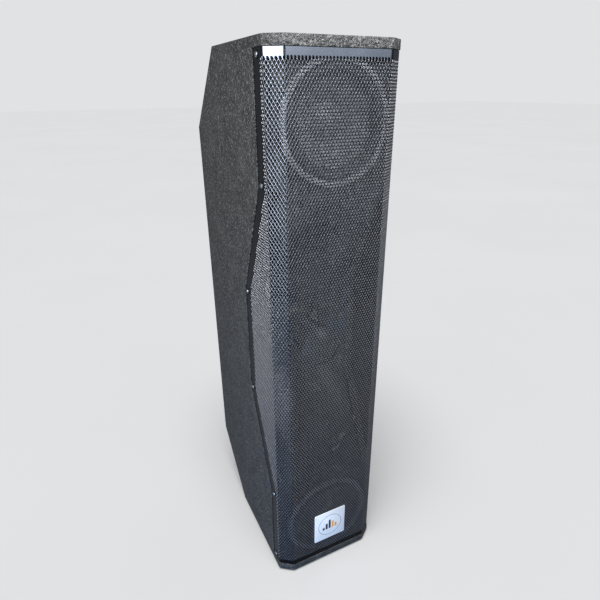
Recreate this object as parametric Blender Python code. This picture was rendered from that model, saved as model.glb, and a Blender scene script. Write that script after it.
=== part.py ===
"""PA speaker cabinet: a tall slim column with an 8-inch woofer at each end and a horn between them,
behind one folded steel grille. Metres, +Z up, front facing -Y, origin under the middle of the cabinet."""

from math import atan2, cos, pi, radians, sin, sqrt

import bmesh
import bpy
from mathutils import Matrix, Vector

MM = 0.001
GAP = 0.3  # clearance between pieces that touch, in millimetres like every size below

# Cabinet
WIDTH, HEIGHT, DEPTH = 231.0, 1040.0, 375.0
PLY = 15.0
FOOT_HEIGHT = 5.0
FOOT_RADIUS, FOOT_SPREAD, FOOT_DEPTHS = 13.0, 84.0, (42.0, 208.0)
TRIM_PROUD = 2.5  # how far the rear trim flanges stand off the rear panel
REAR_FACE = DEPTH - TRIM_PROUD
END_DEPTH = 242.0  # depth of the top and bottom panels
TAPER_HEIGHT = 137.0  # height over which the back slants at each end
CHAMFER_WIDTH, CHAMFER_DEPTH = 26.7, 19.4
CORNER_RADIUS = 7.0
ARRIS = 1.8  # rounding of the painted outside edges

# Side cut-outs that the wings of the grille fill, as depths from the front and heights from the middle
CUT_SHALLOW, CUT_DEEP = 52.0, 140.5
CUT_OUTER, CUT_INNER = 314.0, 111.0
LEDGE = 24.0  # width of the rebate under the wing
REBATE = 3.1

# Grille
SHEET = 1.2
GRILLE_FRONT = 1.6
GRILLE_SIDE_RECESS = 1.6
EDGE_GAP = 0.4  # between the wings and the cut-outs' edges
FOLD_SHARE = 0.35  # share of the sheet's thickness by which its inner corners move at a fold
SHEET_END = HEIGHT / 2 - PLY - 0.6
SCREW_SPOTS = ((39.0, 496.0), (39.0, 317.0), (131.0, 107.0))  # upper half of each wing, as (depth, height)
SCREW_RADIUS, SCREW_HEAD_RADIUS, SCREW_HEAD, SCREW_LENGTH = 2.0, 4.0, 1.3, 11.0

# Baffles and dividers, heights from the middle
BAFFLE_FRONT = 19.0
HORN_HALF_HEIGHT = 308.0
DIVIDER_HEIGHT, DIVIDER_FRONT = 291.0, 46.0

# Woofers
WOOFER_HEIGHT = HEIGHT / 2 - WIDTH / 2
FRAME_RADIUS, CUTOUT_RADIUS = 96.0, 90.5
EAR_RADIUS = 106.0
FLANGE_FRONT, FLANGE_BACK, FLANGE_INNER = 14.0, 18.7, 84.5
SPIDER_LEDGE = 66.5
ROLL_OUTER, ROLL_INNER = 83.0, 70.0
COIL_RADIUS = 25.0
ROUND_STEPS = 24

# Horn
HORN_FRONT, HORN_WALL = 17.0, 4.0
THROAT_RADIUS, THROAT_DEPTH = 50.0, 150.0
ARCH_TOP, ARCH_RADIUS = 278.0, 95.0
MOUTH_CORNER = 73.0
MOUTH_SIDE = CUT_DEEP - LEDGE + 5  # depth of the mouth's edge along the side
PLUG_RADIUS = 41.0
FIN_THICKNESS = 4.0

# Badge on the grille
BADGE_WIDTH, BADGE_BOTTOM, BADGE_TOP = 75.0, 55.0, 134.5

# Back
DISH_HEIGHT, DISH_INSIDE, DISH_FLANGE = -190.0, (104.0, 64.0), (130.0, 90.0)
DISH_FLOOR = 352.0
SOCKET_SPACING, SOCKET_RADIUS, SOCKET_BORE = 44.0, 13.5, 10.0
HANDLE_HEIGHT, HANDLE_INSIDE, HANDLE_FLANGE = 120.0, (124.0, 70.0), (150.0, 96.0)
HANDLE_FLOOR = 325.0
HANDLE_BAR_RADIUS = 10.0
MOULDING = 3.0
BOARD_HALF_WIDTH, BOARD_LOW, BOARD_HIGH = 62.0, -130.0, -5.0  # crossover board

INNER_HALF = WIDTH / 2 - PLY - GAP  # half width of every board between the side panels


def point(x, depth, height):
    """A point from millimetres: x to the right, depth behind the front, height above the cabinet's middle."""
    return Vector((x, depth - DEPTH / 2, height + HEIGHT / 2 + FOOT_HEIGHT)) * MM


def clear_scene():
    for obj in list(bpy.data.objects):
        bpy.data.objects.remove(obj)


def material(name, colour, roughness, metallic=0.0):
    made = bpy.data.materials.new(name)
    made.use_nodes = True
    shader = made.node_tree.nodes["Principled BSDF"]
    shader.inputs["Base Color"].default_value = (*colour, 1.0)
    shader.inputs["Roughness"].default_value = roughness
    shader.inputs["Metallic"].default_value = metallic
    return made


def add_object(name, bm, colour, roughness, metallic=0.0, location=(0, 0, 0)):
    """An object from a bmesh, with faces out and its own material."""
    bmesh.ops.recalc_face_normals(bm, faces=bm.faces)
    mesh = bpy.data.meshes.new(name)
    bm.to_mesh(mesh)
    bm.free()
    mesh.materials.append(material(name, colour, roughness, metallic))
    obj = bpy.data.objects.new(name, mesh)
    obj.location = location
    bpy.context.scene.collection.objects.link(obj)
    return obj


def smooth(obj, angle=35):
    obj.data.shade_smooth()
    obj.data.set_sharp_from_angle(angle=radians(angle))
    return obj


def extruded(corners, step):
    """A bmesh of the flat face with these corners, pulled along step."""
    bm = bmesh.new()
    face = bm.faces.new([bm.verts.new(c) for c in corners])
    pulled = bmesh.ops.extrude_face_region(bm, geom=[face])
    moved = [v for v in pulled["geom"] if isinstance(v, bmesh.types.BMVert)]
    bmesh.ops.translate(bm, vec=step, verts=moved)
    return bm


def along_x(outline, low, high):
    """A prism of a (depth, height) outline between two x values."""
    return extruded([point(low, d, h) for d, h in outline], Vector((high - low, 0, 0)) * MM)


def along_depth(outline, front, back):
    """A prism of an (x, height) outline between two depths."""
    return extruded([point(x, front, h) for x, h in outline], Vector((0, back - front, 0)) * MM)


def along_height(outline, low, high):
    """A prism of an (x, depth) outline between two heights."""
    return extruded([point(x, d, low) for x, d in outline], Vector((0, 0, high - low)) * MM)


def rectangle(half_width, low, high):
    return [(-half_width, low), (half_width, low), (half_width, high), (-half_width, high)]


def centred_rectangle(size, height):
    return rectangle(size[0] / 2, height - size[1] / 2, height + size[1] / 2)


def rounded(corners, radius, steps=4):
    """The outline with each corner replaced by an arc of this radius."""
    outline = []
    count = len(corners)
    for i, corner in enumerate(corners):
        here = Vector(corner)
        before = (Vector(corners[i - 1]) - here).normalized()
        after = (Vector(corners[(i + 1) % count]) - here).normalized()
        half = before.angle(after) / 2
        centre = here + (before + after).normalized() * (radius / sin(half))
        tangent = radius * cos(half) / sin(half)
        start = (here + before * tangent - centre).normalized()
        end = (here + after * tangent - centre).normalized()
        for k in range(steps + 1):
            outline.append(tuple(centre + start.slerp(end, k / steps) * radius))
    return outline


def ring_points(radius, count, x=0.0, height=0.0):
    return [
        (x + radius * cos(2 * pi * k / count), height + radius * sin(2 * pi * k / count))
        for k in range(count)
    ]


def turned(profile, steps=ROUND_STEPS):
    """A bmesh of a closed (radius, depth) profile spun about the Y axis through the origin."""
    bm = bmesh.new()
    verts = [bm.verts.new((r * MM, d * MM, 0)) for r, d in profile]
    edges = [bm.edges.new((verts[i - 1], v)) for i, v in enumerate(verts)]
    bmesh.ops.spin(bm, geom=verts + edges, cent=(0, 0, 0), axis=(0, 1, 0), angle=2 * pi, steps=steps)
    bmesh.ops.remove_doubles(bm, verts=bm.verts, dist=1e-6)
    return bm


def round_edges(bm, wanted, width=ARRIS, segments=2):
    """Rounds the edges for which wanted(a, b) holds, a and b being the ends in metres."""
    edges = [e for e in bm.edges if wanted(e.verts[0].co, e.verts[1].co)]
    bmesh.ops.bevel(bm, geom=edges, offset=width * MM, segments=segments, affect="EDGES", profile=0.5)


def boolean(obj, bm, operation="DIFFERENCE", location=(0, 0, 0)):
    """Cuts, joins or intersects obj with a helper made from the bmesh."""
    helper = add_object(obj.name + "_helper", bm, (0.5, 0.5, 0.5), 0.5, location=location)
    helper.hide_render = True
    helper.display_type = "WIRE"
    modifier = obj.modifiers.new("boolean", "BOOLEAN")
    modifier.operation = operation
    modifier.solver = "EXACT"
    modifier.object = helper
    return obj


def merged(meshes):
    """One bmesh holding the separate closed shapes of several."""
    whole = bmesh.new()
    for bm in meshes:
        mesh = bpy.data.meshes.new("part")
        bm.to_mesh(mesh)
        bm.free()
        whole.from_mesh(mesh)
        bpy.data.meshes.remove(mesh)
    return whole


# Cabinet shell


def inset(corners, distance):
    """The convex outline moved inwards by distance."""
    lines = []
    count = len(corners)
    middle = sum((Vector(c) for c in corners), Vector((0, 0))) / count
    for i in range(count):
        a, b = Vector(corners[i]), Vector(corners[(i + 1) % count])
        across = Vector((b.y - a.y, a.x - b.x)).normalized()
        if (middle - a).dot(across) < 0:
            across = -across
        lines.append((a + across * distance, b - a))
    inner = []
    for i in range(count):
        (p, u), (q, v) = lines[i - 1], lines[i]
        t = ((q - p).x * v.y - (q - p).y * v.x) / (u.x * v.y - u.y * v.x)
        inner.append(tuple(p + u * t))
    return inner


def profile_outline():
    """The cabinet seen from the side, as (depth, height), going round from the front's top."""
    top = HEIGHT / 2
    slant = top - TAPER_HEIGHT
    return [(0, top), (END_DEPTH, top), (REAR_FACE, slant), (REAR_FACE, -slant), (END_DEPTH, -top), (0, -top)]


def board_outline(edge):
    """The mitred board under one edge of the cabinet's profile."""
    outer, inner = profile_outline(), inset(profile_outline(), PLY)
    after = (edge + 1) % len(outer)
    a, b = Vector(outer[edge]), Vector(outer[after])
    c, d = Vector(inner[after]), Vector(inner[edge])
    run = (b - a).normalized() * (GAP * 0.75)
    if edge == 0:
        return [a, b - run, c - run, (0, c.y)]
    if edge == len(outer) - 2:
        return [a + run, b, (0, d.y), d + run]
    return [a + run, b - run, c - run, d + run]


def plan_outline(back):
    """The cabinet seen from above as far as the depth back, with its chamfered front, as (x, depth)."""
    half, flat = WIDTH / 2, WIDTH / 2 - CHAMFER_WIDTH
    corners = [(-half, CHAMFER_DEPTH), (-flat, 0), (flat, 0), (half, CHAMFER_DEPTH)]
    front = rounded([(-half, back), *corners, (half, back)], CORNER_RADIUS)
    arc = len(front) // 6
    return [(-half, back), *front[arc:-arc], (half, back)]


PAINT = (0.045, 0.046, 0.048)
NEAR = MM / 10  # how close a vertex lies to a face to count as on it


def end_panel(name, edge, direction):
    """The top or bottom board, full width, with the chamfered corners and a mitre at its back."""
    depths = [d for d, _ in board_outline(edge) if d > 0]
    inner_back, outer_back = min(depths), max(depths)
    outer, inner = direction * HEIGHT / 2, direction * (HEIGHT / 2 - PLY)
    bm = along_height(plan_outline(outer_back), inner, outer)
    outside, back = point(0, 0, outer).z, point(0, outer_back, 0).y
    for v in bm.verts:
        if abs(v.co.z - outside) > MM and abs(v.co.y - back) < NEAR:
            v.co.y = point(0, inner_back, 0).y
    bm.normal_update()

    def wanted(a, b):
        on_face = abs(a.z - outside) < NEAR and abs(b.z - outside) < NEAR
        at_back = abs(a.y - back) < NEAR and abs(b.y - back) < NEAR
        return on_face and not at_back

    round_edges(bm, wanted)
    return add_object(name, bm, PAINT, 0.7)


def cut_edge(offset):
    """The side cut-out's edge from top to bottom, moved forwards by offset."""
    shallow, deep = CUT_SHALLOW - offset, CUT_DEEP - offset
    return [(shallow, CUT_OUTER), (deep, CUT_INNER), (deep, -CUT_INNER), (shallow, -CUT_OUTER)]


def side_outline():
    """The side panel between the end panels, with the rebate's front edge."""
    outer, inner = profile_outline(), inset(profile_outline(), PLY + GAP)
    run = GAP * 1.5
    corner = (END_DEPTH + run, HEIGHT / 2 - run)
    back = [inner[1], corner, outer[2], outer[3], (corner[0], -corner[1]), inner[4]]
    front = CUT_SHALLOW - LEDGE
    return [(front, -inner[1][1]), *reversed(cut_edge(LEDGE)), (front, inner[1][1]), *back]


def side_panel(name, side):
    outside, inside = side * WIDTH / 2, side * (WIDTH / 2 - PLY)
    bm = along_x(side_outline(), inside, outside)
    back = point(0, END_DEPTH - PLY, 0).y

    def on_back(v):
        return abs(v.x - outside * MM) < NEAR and v.y > back

    round_edges(bm, lambda a, b: on_back(a) and on_back(b))
    obj = add_object(name, bm, PAINT, 0.7)
    ends = HEIGHT / 2
    rebate = [(-PLY, -ends), (CUT_SHALLOW, -ends), *reversed(cut_edge(0)), (CUT_SHALLOW, ends), (-PLY, ends)]
    face = side * (WIDTH / 2 - REBATE)
    boolean(obj, along_x(rebate, face, face + side * PLY))
    boolean(obj, merged([screw_hole(side, d, h) for d, h in screw_places()]))
    return obj


def rear_board(name, edge):
    return add_object(name, along_x(board_outline(edge), -INNER_HALF, INNER_HALF), PAINT, 0.7)


def cabinet_shell():
    end_panel("top_panel", 0, 1)
    end_panel("bottom_panel", 4, -1)
    side_panel("side_panel_left", -1)
    side_panel("side_panel_right", 1)
    rear_board("rear_upper_panel", 1)
    rear = rear_board("rear_panel", 2)
    rear_board("rear_lower_panel", 3)
    for hole, height in ((DISH_INSIDE, DISH_HEIGHT), (HANDLE_INSIDE, HANDLE_HEIGHT)):
        size = [s + 2 * (MOULDING + GAP) for s in hole]
        boolean(rear, along_depth(centred_rectangle(size, height), REAR_FACE - 2 * PLY, DEPTH))


def baffle(name, direction):
    """The board that carries one woofer. direction is 1 at the top and -1 at the bottom."""
    low = HORN_HALF_HEIGHT + GAP
    high = HEIGHT / 2 - PLY - GAP
    outline = [(x, direction * h) for x, h in rectangle(INNER_HALF, low, high)]
    board = along_depth(outline, BAFFLE_FRONT, BAFFLE_FRONT + PLY)
    obj = add_object(name, board, (0.03, 0.03, 0.03), 0.8)
    cutter = along_depth(ring_points(CUTOUT_RADIUS, 32, 0, direction * WOOFER_HEIGHT), 0, 3 * PLY)
    return boolean(obj, cutter)


def divider(name, direction):
    """The board that closes a woofer's chamber off from the horn's."""
    height = direction * DIVIDER_HEIGHT
    back = REAR_FACE - PLY - GAP
    low, high = height - PLY / 2, height + PLY / 2
    outline = [(DIVIDER_FRONT, low), (back, low), (back, high), (DIVIDER_FRONT, high)]
    return add_object(name, along_x(outline, -INNER_HALF, INNER_HALF), (0.42, 0.3, 0.17), 0.8)


def feet():
    radius, tall = FOOT_RADIUS, FOOT_HEIGHT - GAP
    outline = [(0, 0), (radius - 2, 0), (radius - 0.5, 1), (radius, tall), (0, tall)]
    upright = Matrix.Rotation(radians(90), 4, "X")
    for row, depth in zip(("front", "rear"), FOOT_DEPTHS):
        for side, word in ((-1, "left"), (1, "right")):
            bm = turned(outline, 16)
            bmesh.ops.transform(bm, matrix=upright, verts=bm.verts)
            location = point(side * FOOT_SPREAD, depth, -HEIGHT / 2 - FOOT_HEIGHT)
            smooth(add_object(f"foot_{row}_{word}", bm, (0.02, 0.02, 0.02), 0.9, location=location))


# Grille


def screw_places():
    """Where the grille's screws go on each side, as (depth, height)."""
    return [*SCREW_SPOTS, *[(d, -h) for d, h in SCREW_SPOTS]]


def screw_hole(side, depth, height):
    outline = ring_points(SCREW_RADIUS + 0.4, 8, depth, height)
    return along_x(outline, side * (WIDTH / 2 - PLY - 1), side * (WIDTH / 2 + 1))


def grille():
    """The folded sheet: front, two chamfers and two wings that follow the side cut-outs."""
    side = WIDTH / 2 - GRILLE_SIDE_RECESS
    flat = WIDTH / 2 - CHAMFER_WIDTH - 0.6
    fold = CHAMFER_DEPTH + 0.9
    back = CUT_DEEP - EDGE_GAP
    thin = FOLD_SHARE * SHEET
    outer = [(side, back), (side, fold), (flat, GRILLE_FRONT)]
    inner = [(side - SHEET, back), (side - SHEET, fold + thin), (flat - thin, GRILLE_FRONT + SHEET)]
    outer += [(-x, d) for x, d in reversed(outer)]
    inner += [(-x, d) for x, d in reversed(inner)]
    sheet = along_height(outer + inner[::-1], -SHEET_END, SHEET_END)
    obj = add_object("grille", sheet, (0.02, 0.02, 0.024), 0.4, 0.6)
    over = HEIGHT / 2
    edge = [(d - EDGE_GAP, h + (0.2 if h > 0 else -0.2)) for d, h in cut_edge(0)]
    waste = [(edge[0][0], over), *edge, (edge[0][0], -over), (DEPTH, -over), (DEPTH, over)]
    boolean(obj, along_x(waste, -WIDTH, WIDTH))
    holes = [screw_hole(s, d, h) for s in (-1, 1) for d, h in screw_places()]
    return boolean(obj, merged(holes))


def grille_screws():
    face = WIDTH / 2 - GRILLE_SIDE_RECESS + GAP
    end = SCREW_HEAD + SCREW_LENGTH
    outline = [(0, 0), (SCREW_HEAD_RADIUS - 1, 0.2), (SCREW_HEAD_RADIUS, SCREW_HEAD)]
    outline += [(SCREW_RADIUS, SCREW_HEAD), (SCREW_RADIUS, end), (0, end)]
    for side, word in ((-1, "left"), (1, "right")):
        turn = Matrix.Rotation(radians(-90 if side < 0 else 90), 4, "Z")
        for number, (depth, height) in enumerate(screw_places(), 1):
            bm = turned(outline, 8)
            bmesh.ops.transform(bm, matrix=turn, verts=bm.verts)
            name = f"grille_screw_{word}_{number}"
            location = point(side * (face + SCREW_HEAD), depth, height)
            smooth(add_object(name, bm, (0.6, 0.62, 0.65), 0.3, 1.0, location))


def badge():
    low, high = BADGE_BOTTOM - HEIGHT / 2, BADGE_TOP - HEIGHT / 2
    outline = rounded(rectangle(BADGE_WIDTH / 2, low, high), 2.5, 3)
    return add_object("badge", along_depth(outline, 0.1, GRILLE_FRONT - GAP), (0.75, 0.78, 0.82), 0.4)


# Woofers


def woofer_frame(name, location):
    """Pressed basket: round flange with four ears, slanted wall with windows, and the spider's ledge."""
    neck = CUTOUT_RADIUS - 1
    outline = [(FRAME_RADIUS, FLANGE_FRONT), (FRAME_RADIUS, FLANGE_BACK), (neck, FLANGE_BACK), (88, 22)]
    outline += [(66, 72), (28, 72), (28, 70), (58, 70), (58, SPIDER_LEDGE), (66.2, SPIDER_LEDGE)]
    outline += [(85.5, 22), (FLANGE_INNER, 18), (FLANGE_INNER, FLANGE_FRONT)]
    obj = smooth(add_object(name, turned(outline), (0.05, 0.05, 0.055), 0.45, 0.7, location))
    ears = []
    front, back = FLANGE_FRONT + 0.4, FLANGE_BACK - 0.4
    across = [(88, -15), (EAR_RADIUS - 4, -11), (EAR_RADIUS, 0), (EAR_RADIUS - 4, 11), (88, 15)]
    for k in range(4):
        bm = extruded([Vector((r, front, t)) * MM for r, t in across], Vector((0, back - front, 0)) * MM)
        bmesh.ops.rotate(bm, matrix=Matrix.Rotation(pi / 4 + k * pi / 2, 3, "Y"), verts=bm.verts)
        ears.append(bm)
    boolean(obj, merged(ears), "UNION", location)
    window = [(-17, 26), (17, 26), (13, 60), (-13, 60)]
    for k in range(3):
        bm = extruded([Vector((x, d, -99)) * MM for x, d in window], Vector((0, 0, 198)) * MM)
        bmesh.ops.rotate(bm, matrix=Matrix.Rotation(k * pi / 3, 3, "Y"), verts=bm.verts)
        boolean(obj, bm, location=location)
    return obj


def roll(outer, inner, thickness, level, count=4):
    """A half-round roll between two radii, as a closed (radius, depth) outline bulging to the front."""
    centre, radius = (outer + inner) / 2, (outer - inner) / 2
    angles = [pi * k / count for k in range(count + 1)]
    front = [(centre + radius * cos(a), level - radius * sin(a)) for a in angles]
    thin = radius - thickness
    back = [(centre + thin * cos(a), level - thin * sin(a)) for a in reversed(angles)]
    return front, back


def woofer_surround(name, location):
    level = 13.3
    front, back = roll(ROLL_OUTER, ROLL_INNER, 1.0, level)
    lip, edge, inner = level + 0.4, 93.5, 66.5
    outline = [(edge, level - 0.4), *front, (inner, level + 2.0), (inner, level + 2.9)]
    outline += [(ROLL_INNER + 0.6, lip), *back, (edge, lip)]
    obj = add_object(name, turned(outline), (0.015, 0.015, 0.016), 0.6, location=location)
    return smooth(obj, 60)


def cone_depth(radius):
    """Depth of the cone's front face at a radius, slightly curved."""
    share = (ROLL_INNER - radius) / (ROLL_INNER - COIL_RADIUS)
    return 15.2 + 31.0 * share ** 0.86


def woofer_cone(name, location):
    radii = [ROLL_INNER - 0.4, 52, 37, COIL_RADIUS + 1.1]
    front = [(r, cone_depth(r) + 1.3) for r in radii]
    back = [(r, d + 1.4) for r, d in reversed(front)]
    return smooth(add_object(name, turned(front + back, 28), (0.02, 0.02, 0.022), 0.7, location=location), 60)


def woofer_dust_cap(name, location):
    rim = 30.0
    base = cone_depth(rim) + 0.7
    rise = 9.0
    sphere = (rim * rim + rise * rise) / (2 * rise)
    radii = [0, 11, 21, rim]
    front = [(r, base - rise + sphere - sqrt(sphere * sphere - r * r)) for r in radii]
    back = [(r * 0.97, d + 0.9) for r, d in reversed(front[:-1])]
    return smooth(add_object(name, turned(front + back, 24), (0.02, 0.02, 0.022), 0.5, location=location), 60)


def woofer_voice_coil(name, location):
    top = cone_depth(COIL_RADIUS) + 1.5
    outline = [(25.0, top), (25.5, top), (25.5, 73), (26.2, 73), (26.2, 86), (25.0, 86)]
    return smooth(add_object(name, turned(outline, 20), (0.6, 0.3, 0.12), 0.4, 0.8, location=location))


def woofer_spider(name, location):
    level, wave, steps = SPIDER_LEDGE - 1.1, 1.6, 4
    inner, outer = COIL_RADIUS + 0.9, 64.0
    radii = [inner + (outer - inner) * k / steps for k in range(steps + 1)]
    front = [(r, level - (wave if 0 < k < steps and k % 2 else 0)) for k, r in enumerate(radii)]
    back = [(r, d + 0.7) for r, d in reversed(front)]
    return smooth(add_object(name, turned(front + back, 20), (0.5, 0.36, 0.16), 0.9, location=location), 60)


def woofer_motor(prefix, location):
    """Ferrite magnet with its front plate, and the back plate with the pole."""
    magnet = [(27.2, 72.3), (50, 72.3), (50, 80), (60, 80), (60, 98), (27.2, 98)]
    smooth(add_object(prefix + "_magnet", turned(magnet, 20), (0.06, 0.06, 0.065), 0.6, 0.3, location))
    pole = [(0, 73), (24.2, 73), (24.2, 98.3), (54, 98.3), (54, 107), (0, 107)]
    smooth(add_object(prefix + "_back_plate", turned(pole, 20), (0.3, 0.3, 0.32), 0.4, 0.9, location))


def woofer(prefix, direction):
    """One woofer, with every piece's origin on the axis along which its cone moves."""
    location = point(0, 0, direction * WOOFER_HEIGHT)
    woofer_frame(prefix + "_frame", location)
    ring = [(85, 9.6), (95, 9.6), (95, 12.6), (85, 12.6)]
    smooth(add_object(prefix + "_gasket", turned(ring, 28), (0.09, 0.09, 0.1), 0.6, location=location))
    woofer_surround(prefix + "_surround", location)
    woofer_cone(prefix + "_cone", location)
    woofer_dust_cap(prefix + "_dust_cap", location)
    woofer_voice_coil(prefix + "_voice_coil", location)
    woofer_spider(prefix + "_spider", location)
    woofer_motor(prefix, location)


# Centre horn and its driver


def arch(x):
    """Height of the mouth's arched edge above the middle."""
    return ARCH_TOP - ARCH_RADIUS + sqrt(ARCH_RADIUS * ARCH_RADIUS - x * x)


def ledge_depth(height):
    """Depth of the horn's side edge, just behind the rebate of the side panel."""
    slope = (CUT_DEEP - CUT_SHALLOW) / (CUT_OUTER - CUT_INNER)
    return CUT_DEEP - LEDGE + 3 - slope * max(0.0, abs(height) - CUT_INNER)


def spoke_angles():
    """Angles of the horn's creases and the rays between them, from the side to the top, in one quarter."""
    side_corner = atan2(CUT_INNER, INNER_HALF)
    mouth_corner = atan2(arch(MOUTH_CORNER), MOUTH_CORNER)
    stops = [(0.0, side_corner, 3), (side_corner, mouth_corner, 3), (mouth_corner, pi / 2, 3)]
    quarter = [a + (b - a) * k / n for a, b, n in stops for k in range(n)]
    upper = quarter + [pi / 2] + [pi - a for a in reversed(quarter)]
    return upper + [-a for a in reversed(upper[1:-1])]


def rim_point(angle):
    """Where a ray from the horn's middle meets the moulding's rectangular outside, as (x, height)."""
    reach = min(INNER_HALF / max(abs(cos(angle)), 1e-9), HORN_HALF_HEIGHT / max(abs(sin(angle)), 1e-9))
    return reach * cos(angle), reach * sin(angle)


def mouth_point(angle):
    """Where the ray leaves the horn's mouth, as (x, depth, height)."""
    side_corner = atan2(CUT_INNER, INNER_HALF)
    mouth_corner = atan2(arch(MOUTH_CORNER), MOUTH_CORNER)
    steep = atan2(abs(sin(angle)), abs(cos(angle)))
    across, up = (1 if cos(angle) >= 0 else -1), (1 if sin(angle) >= 0 else -1)
    if steep <= side_corner + 1e-6:
        x, height = rim_point(angle)
        return x * 0.97, MOUTH_SIDE, height * 0.97
    if steep < mouth_corner:
        share = (steep - side_corner) / (mouth_corner - side_corner)
        start = Vector((INNER_HALF * 0.97, MOUTH_SIDE, CUT_INNER))
        end = Vector((MOUTH_CORNER, HORN_FRONT, arch(MOUTH_CORNER)))
        spot = start.lerp(end, share)
        return across * spot.x, spot.y, up * spot.z
    x = 0.0
    for _ in range(12):
        x = arch(x) * cos(steep) / sin(steep)
    return across * x, HORN_FRONT, up * arch(x)


def horn():
    """The horn moulding: rings of points from the throat to the mouth, then out to the rim."""
    shares = (0.0, 0.3, 0.65, 1.0)
    angles = spoke_angles()
    bm = bmesh.new()
    rings = [[] for _ in range(2 + len(shares))]
    for angle in angles:
        throat = Vector((THROAT_RADIUS * cos(angle), THROAT_DEPTH, THROAT_RADIUS * sin(angle)))
        mouth = Vector(mouth_point(angle))
        x, height = rim_point(angle)
        edge = ledge_depth(height) if abs(x) > INNER_HALF - 1 else HORN_FRONT
        edge = HORN_FRONT if abs(height) > HORN_HALF_HEIGHT - 1 else edge
        rings[0].append((throat.x, THROAT_DEPTH + 8, throat.z))
        for k, share in enumerate(shares):
            spot = throat.lerp(mouth, share)
            depth = throat.y + (mouth.y - throat.y) * share ** 1.15
            rings[k + 1].append((spot.x, depth, spot.z))
        rings[-1].append((x, edge, height))
    front = [[bm.verts.new(point(*p)) for p in ring] for ring in rings]
    thickness = HORN_WALL
    back_rings = [[(x, d + thickness, h) for x, d, h in ring] for ring in rings]
    grow = 1 + HORN_WALL / THROAT_RADIUS
    for k in (0, 1):
        back_rings[k] = [(x * grow, d, h * grow) for x, d, h in rings[k]]
    back_rings[1] = [(x, d + thickness, h) for x, d, h in back_rings[1]]
    back = [[bm.verts.new(point(*p)) for p in ring] for ring in back_rings]
    count = len(angles)
    loops = front + back[::-1]
    for a, b in zip(loops, loops[1:] + loops[:1]):
        for i in range(count):
            j = (i + 1) % count
            bm.faces.new((a[i], a[j], b[j], b[i]))
    bmesh.ops.triangulate(bm, faces=bm.faces)
    return add_object("horn", bm, (0.02, 0.02, 0.022), 0.45)


def phase_plug():
    """The bullet in the horn's throat, held by four fins."""
    location = point(0, 0, 0)
    outline = [(0, 31), (13, 32.6), (25, 36.6), (34, 41.8), (40, 47), (PLUG_RADIUS, 50), (40, 55)]
    outline += [(37, 76), (33, 104), (29, 132), (27, 157), (0, 157)]
    obj = smooth(add_object("phase_plug", turned(outline), (0.025, 0.025, 0.028), 0.3, location=location))
    fins = []
    profile = ((20, 138), (49.2, 146), (49.2, 157.6), (20, 156.5))
    corners = [Vector((r, d, -FIN_THICKNESS / 2)) * MM for r, d in profile]
    for k in range(4):
        bm = extruded(corners, Vector((0, 0, FIN_THICKNESS)) * MM)
        bmesh.ops.rotate(bm, matrix=Matrix.Rotation(pi / 4 + k * pi / 2, 3, "Y"), verts=bm.verts)
        fins.append(bm)
    return boolean(obj, merged(fins), "UNION", location)


def centre_driver():
    """Throat plate, diaphragm with its coil, magnet and rear cover, one behind the other."""
    location = point(0, 0, 0)
    plate = [(50, 158.4), (78, 158.4), (78, 182), (47, 182), (47, 172), (50, 168)]
    smooth(add_object("mid_throat_plate", turned(plate), (0.35, 0.35, 0.37), 0.4, 0.9, location))
    dome = [(0, 163), (22, 167), (37, 176.5), (44, 177.5), (44, 178.3), (37.4, 178.3)]
    dome += [(37.4, 192), (36.4, 192), (36.4, 177.5), (22, 168.2), (0, 164.2)]
    smooth(add_object("mid_diaphragm", turned(dome), (0.45, 0.42, 0.38), 0.5, 0.5, location), 60)
    magnet = [(0, 174), (24, 180), (35, 186), (35, 197), (38.8, 197), (38.8, 182.3), (70, 182.3)]
    magnet += [(70, 212), (0, 212)]
    smooth(add_object("mid_magnet", turned(magnet), (0.07, 0.07, 0.075), 0.5, 0.5, location))
    cover = [(0, 212.3), (58, 212.3), (58, 226), (54, 231), (0, 233)]
    smooth(add_object("mid_rear_cover", turned(cover), (0.03, 0.03, 0.03), 0.5, location=location))


# Back


def tray(name, inside, flange, height, floor, colour):
    """A moulded tray set into the rear panel, open to the back, with a flange round its mouth."""
    outside = [s + 2 * MOULDING for s in inside]
    bm = along_depth(centred_rectangle(outside, height), floor - MOULDING, REAR_FACE + 1)
    obj = add_object(name, bm, colour, 0.5)
    rim = rounded(centred_rectangle(flange, height), 8, 3)
    boolean(obj, along_depth(rim, REAR_FACE + GAP, DEPTH), "UNION")
    return boolean(obj, along_depth(rounded(centred_rectangle(inside, height), 6, 3), floor, DEPTH + 5))


def connector_dish():
    black = (0.025, 0.025, 0.025)
    dish = tray("connector_dish", DISH_INSIDE, DISH_FLANGE, DISH_HEIGHT, DISH_FLOOR, black)
    hole = SOCKET_RADIUS + GAP
    back = DISH_FLOOR + 1
    for side in (-1, 1):
        outline = ring_points(hole, 16, side * SOCKET_SPACING / 2, DISH_HEIGHT)
        boolean(dish, along_depth(outline, DISH_FLOOR - 3 * MOULDING, back))


def sockets():
    """Two twist-lock speaker sockets with a deep round bore for the plug."""
    floor = DISH_FLOOR + GAP
    outline = [(0, 325), (SOCKET_RADIUS, 325), (SOCKET_RADIUS, floor), (17, floor), (17, floor + 3)]
    outline += [(SOCKET_RADIUS, floor + 4), (SOCKET_BORE, floor + 4), (SOCKET_BORE, 333), (0, 333)]
    for side, word in ((-1, "left"), (1, "right")):
        location = point(side * SOCKET_SPACING / 2, 0, DISH_HEIGHT)
        smooth(add_object("socket_" + word, turned(outline, 16), (0.03, 0.05, 0.12), 0.4, location=location))


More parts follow.
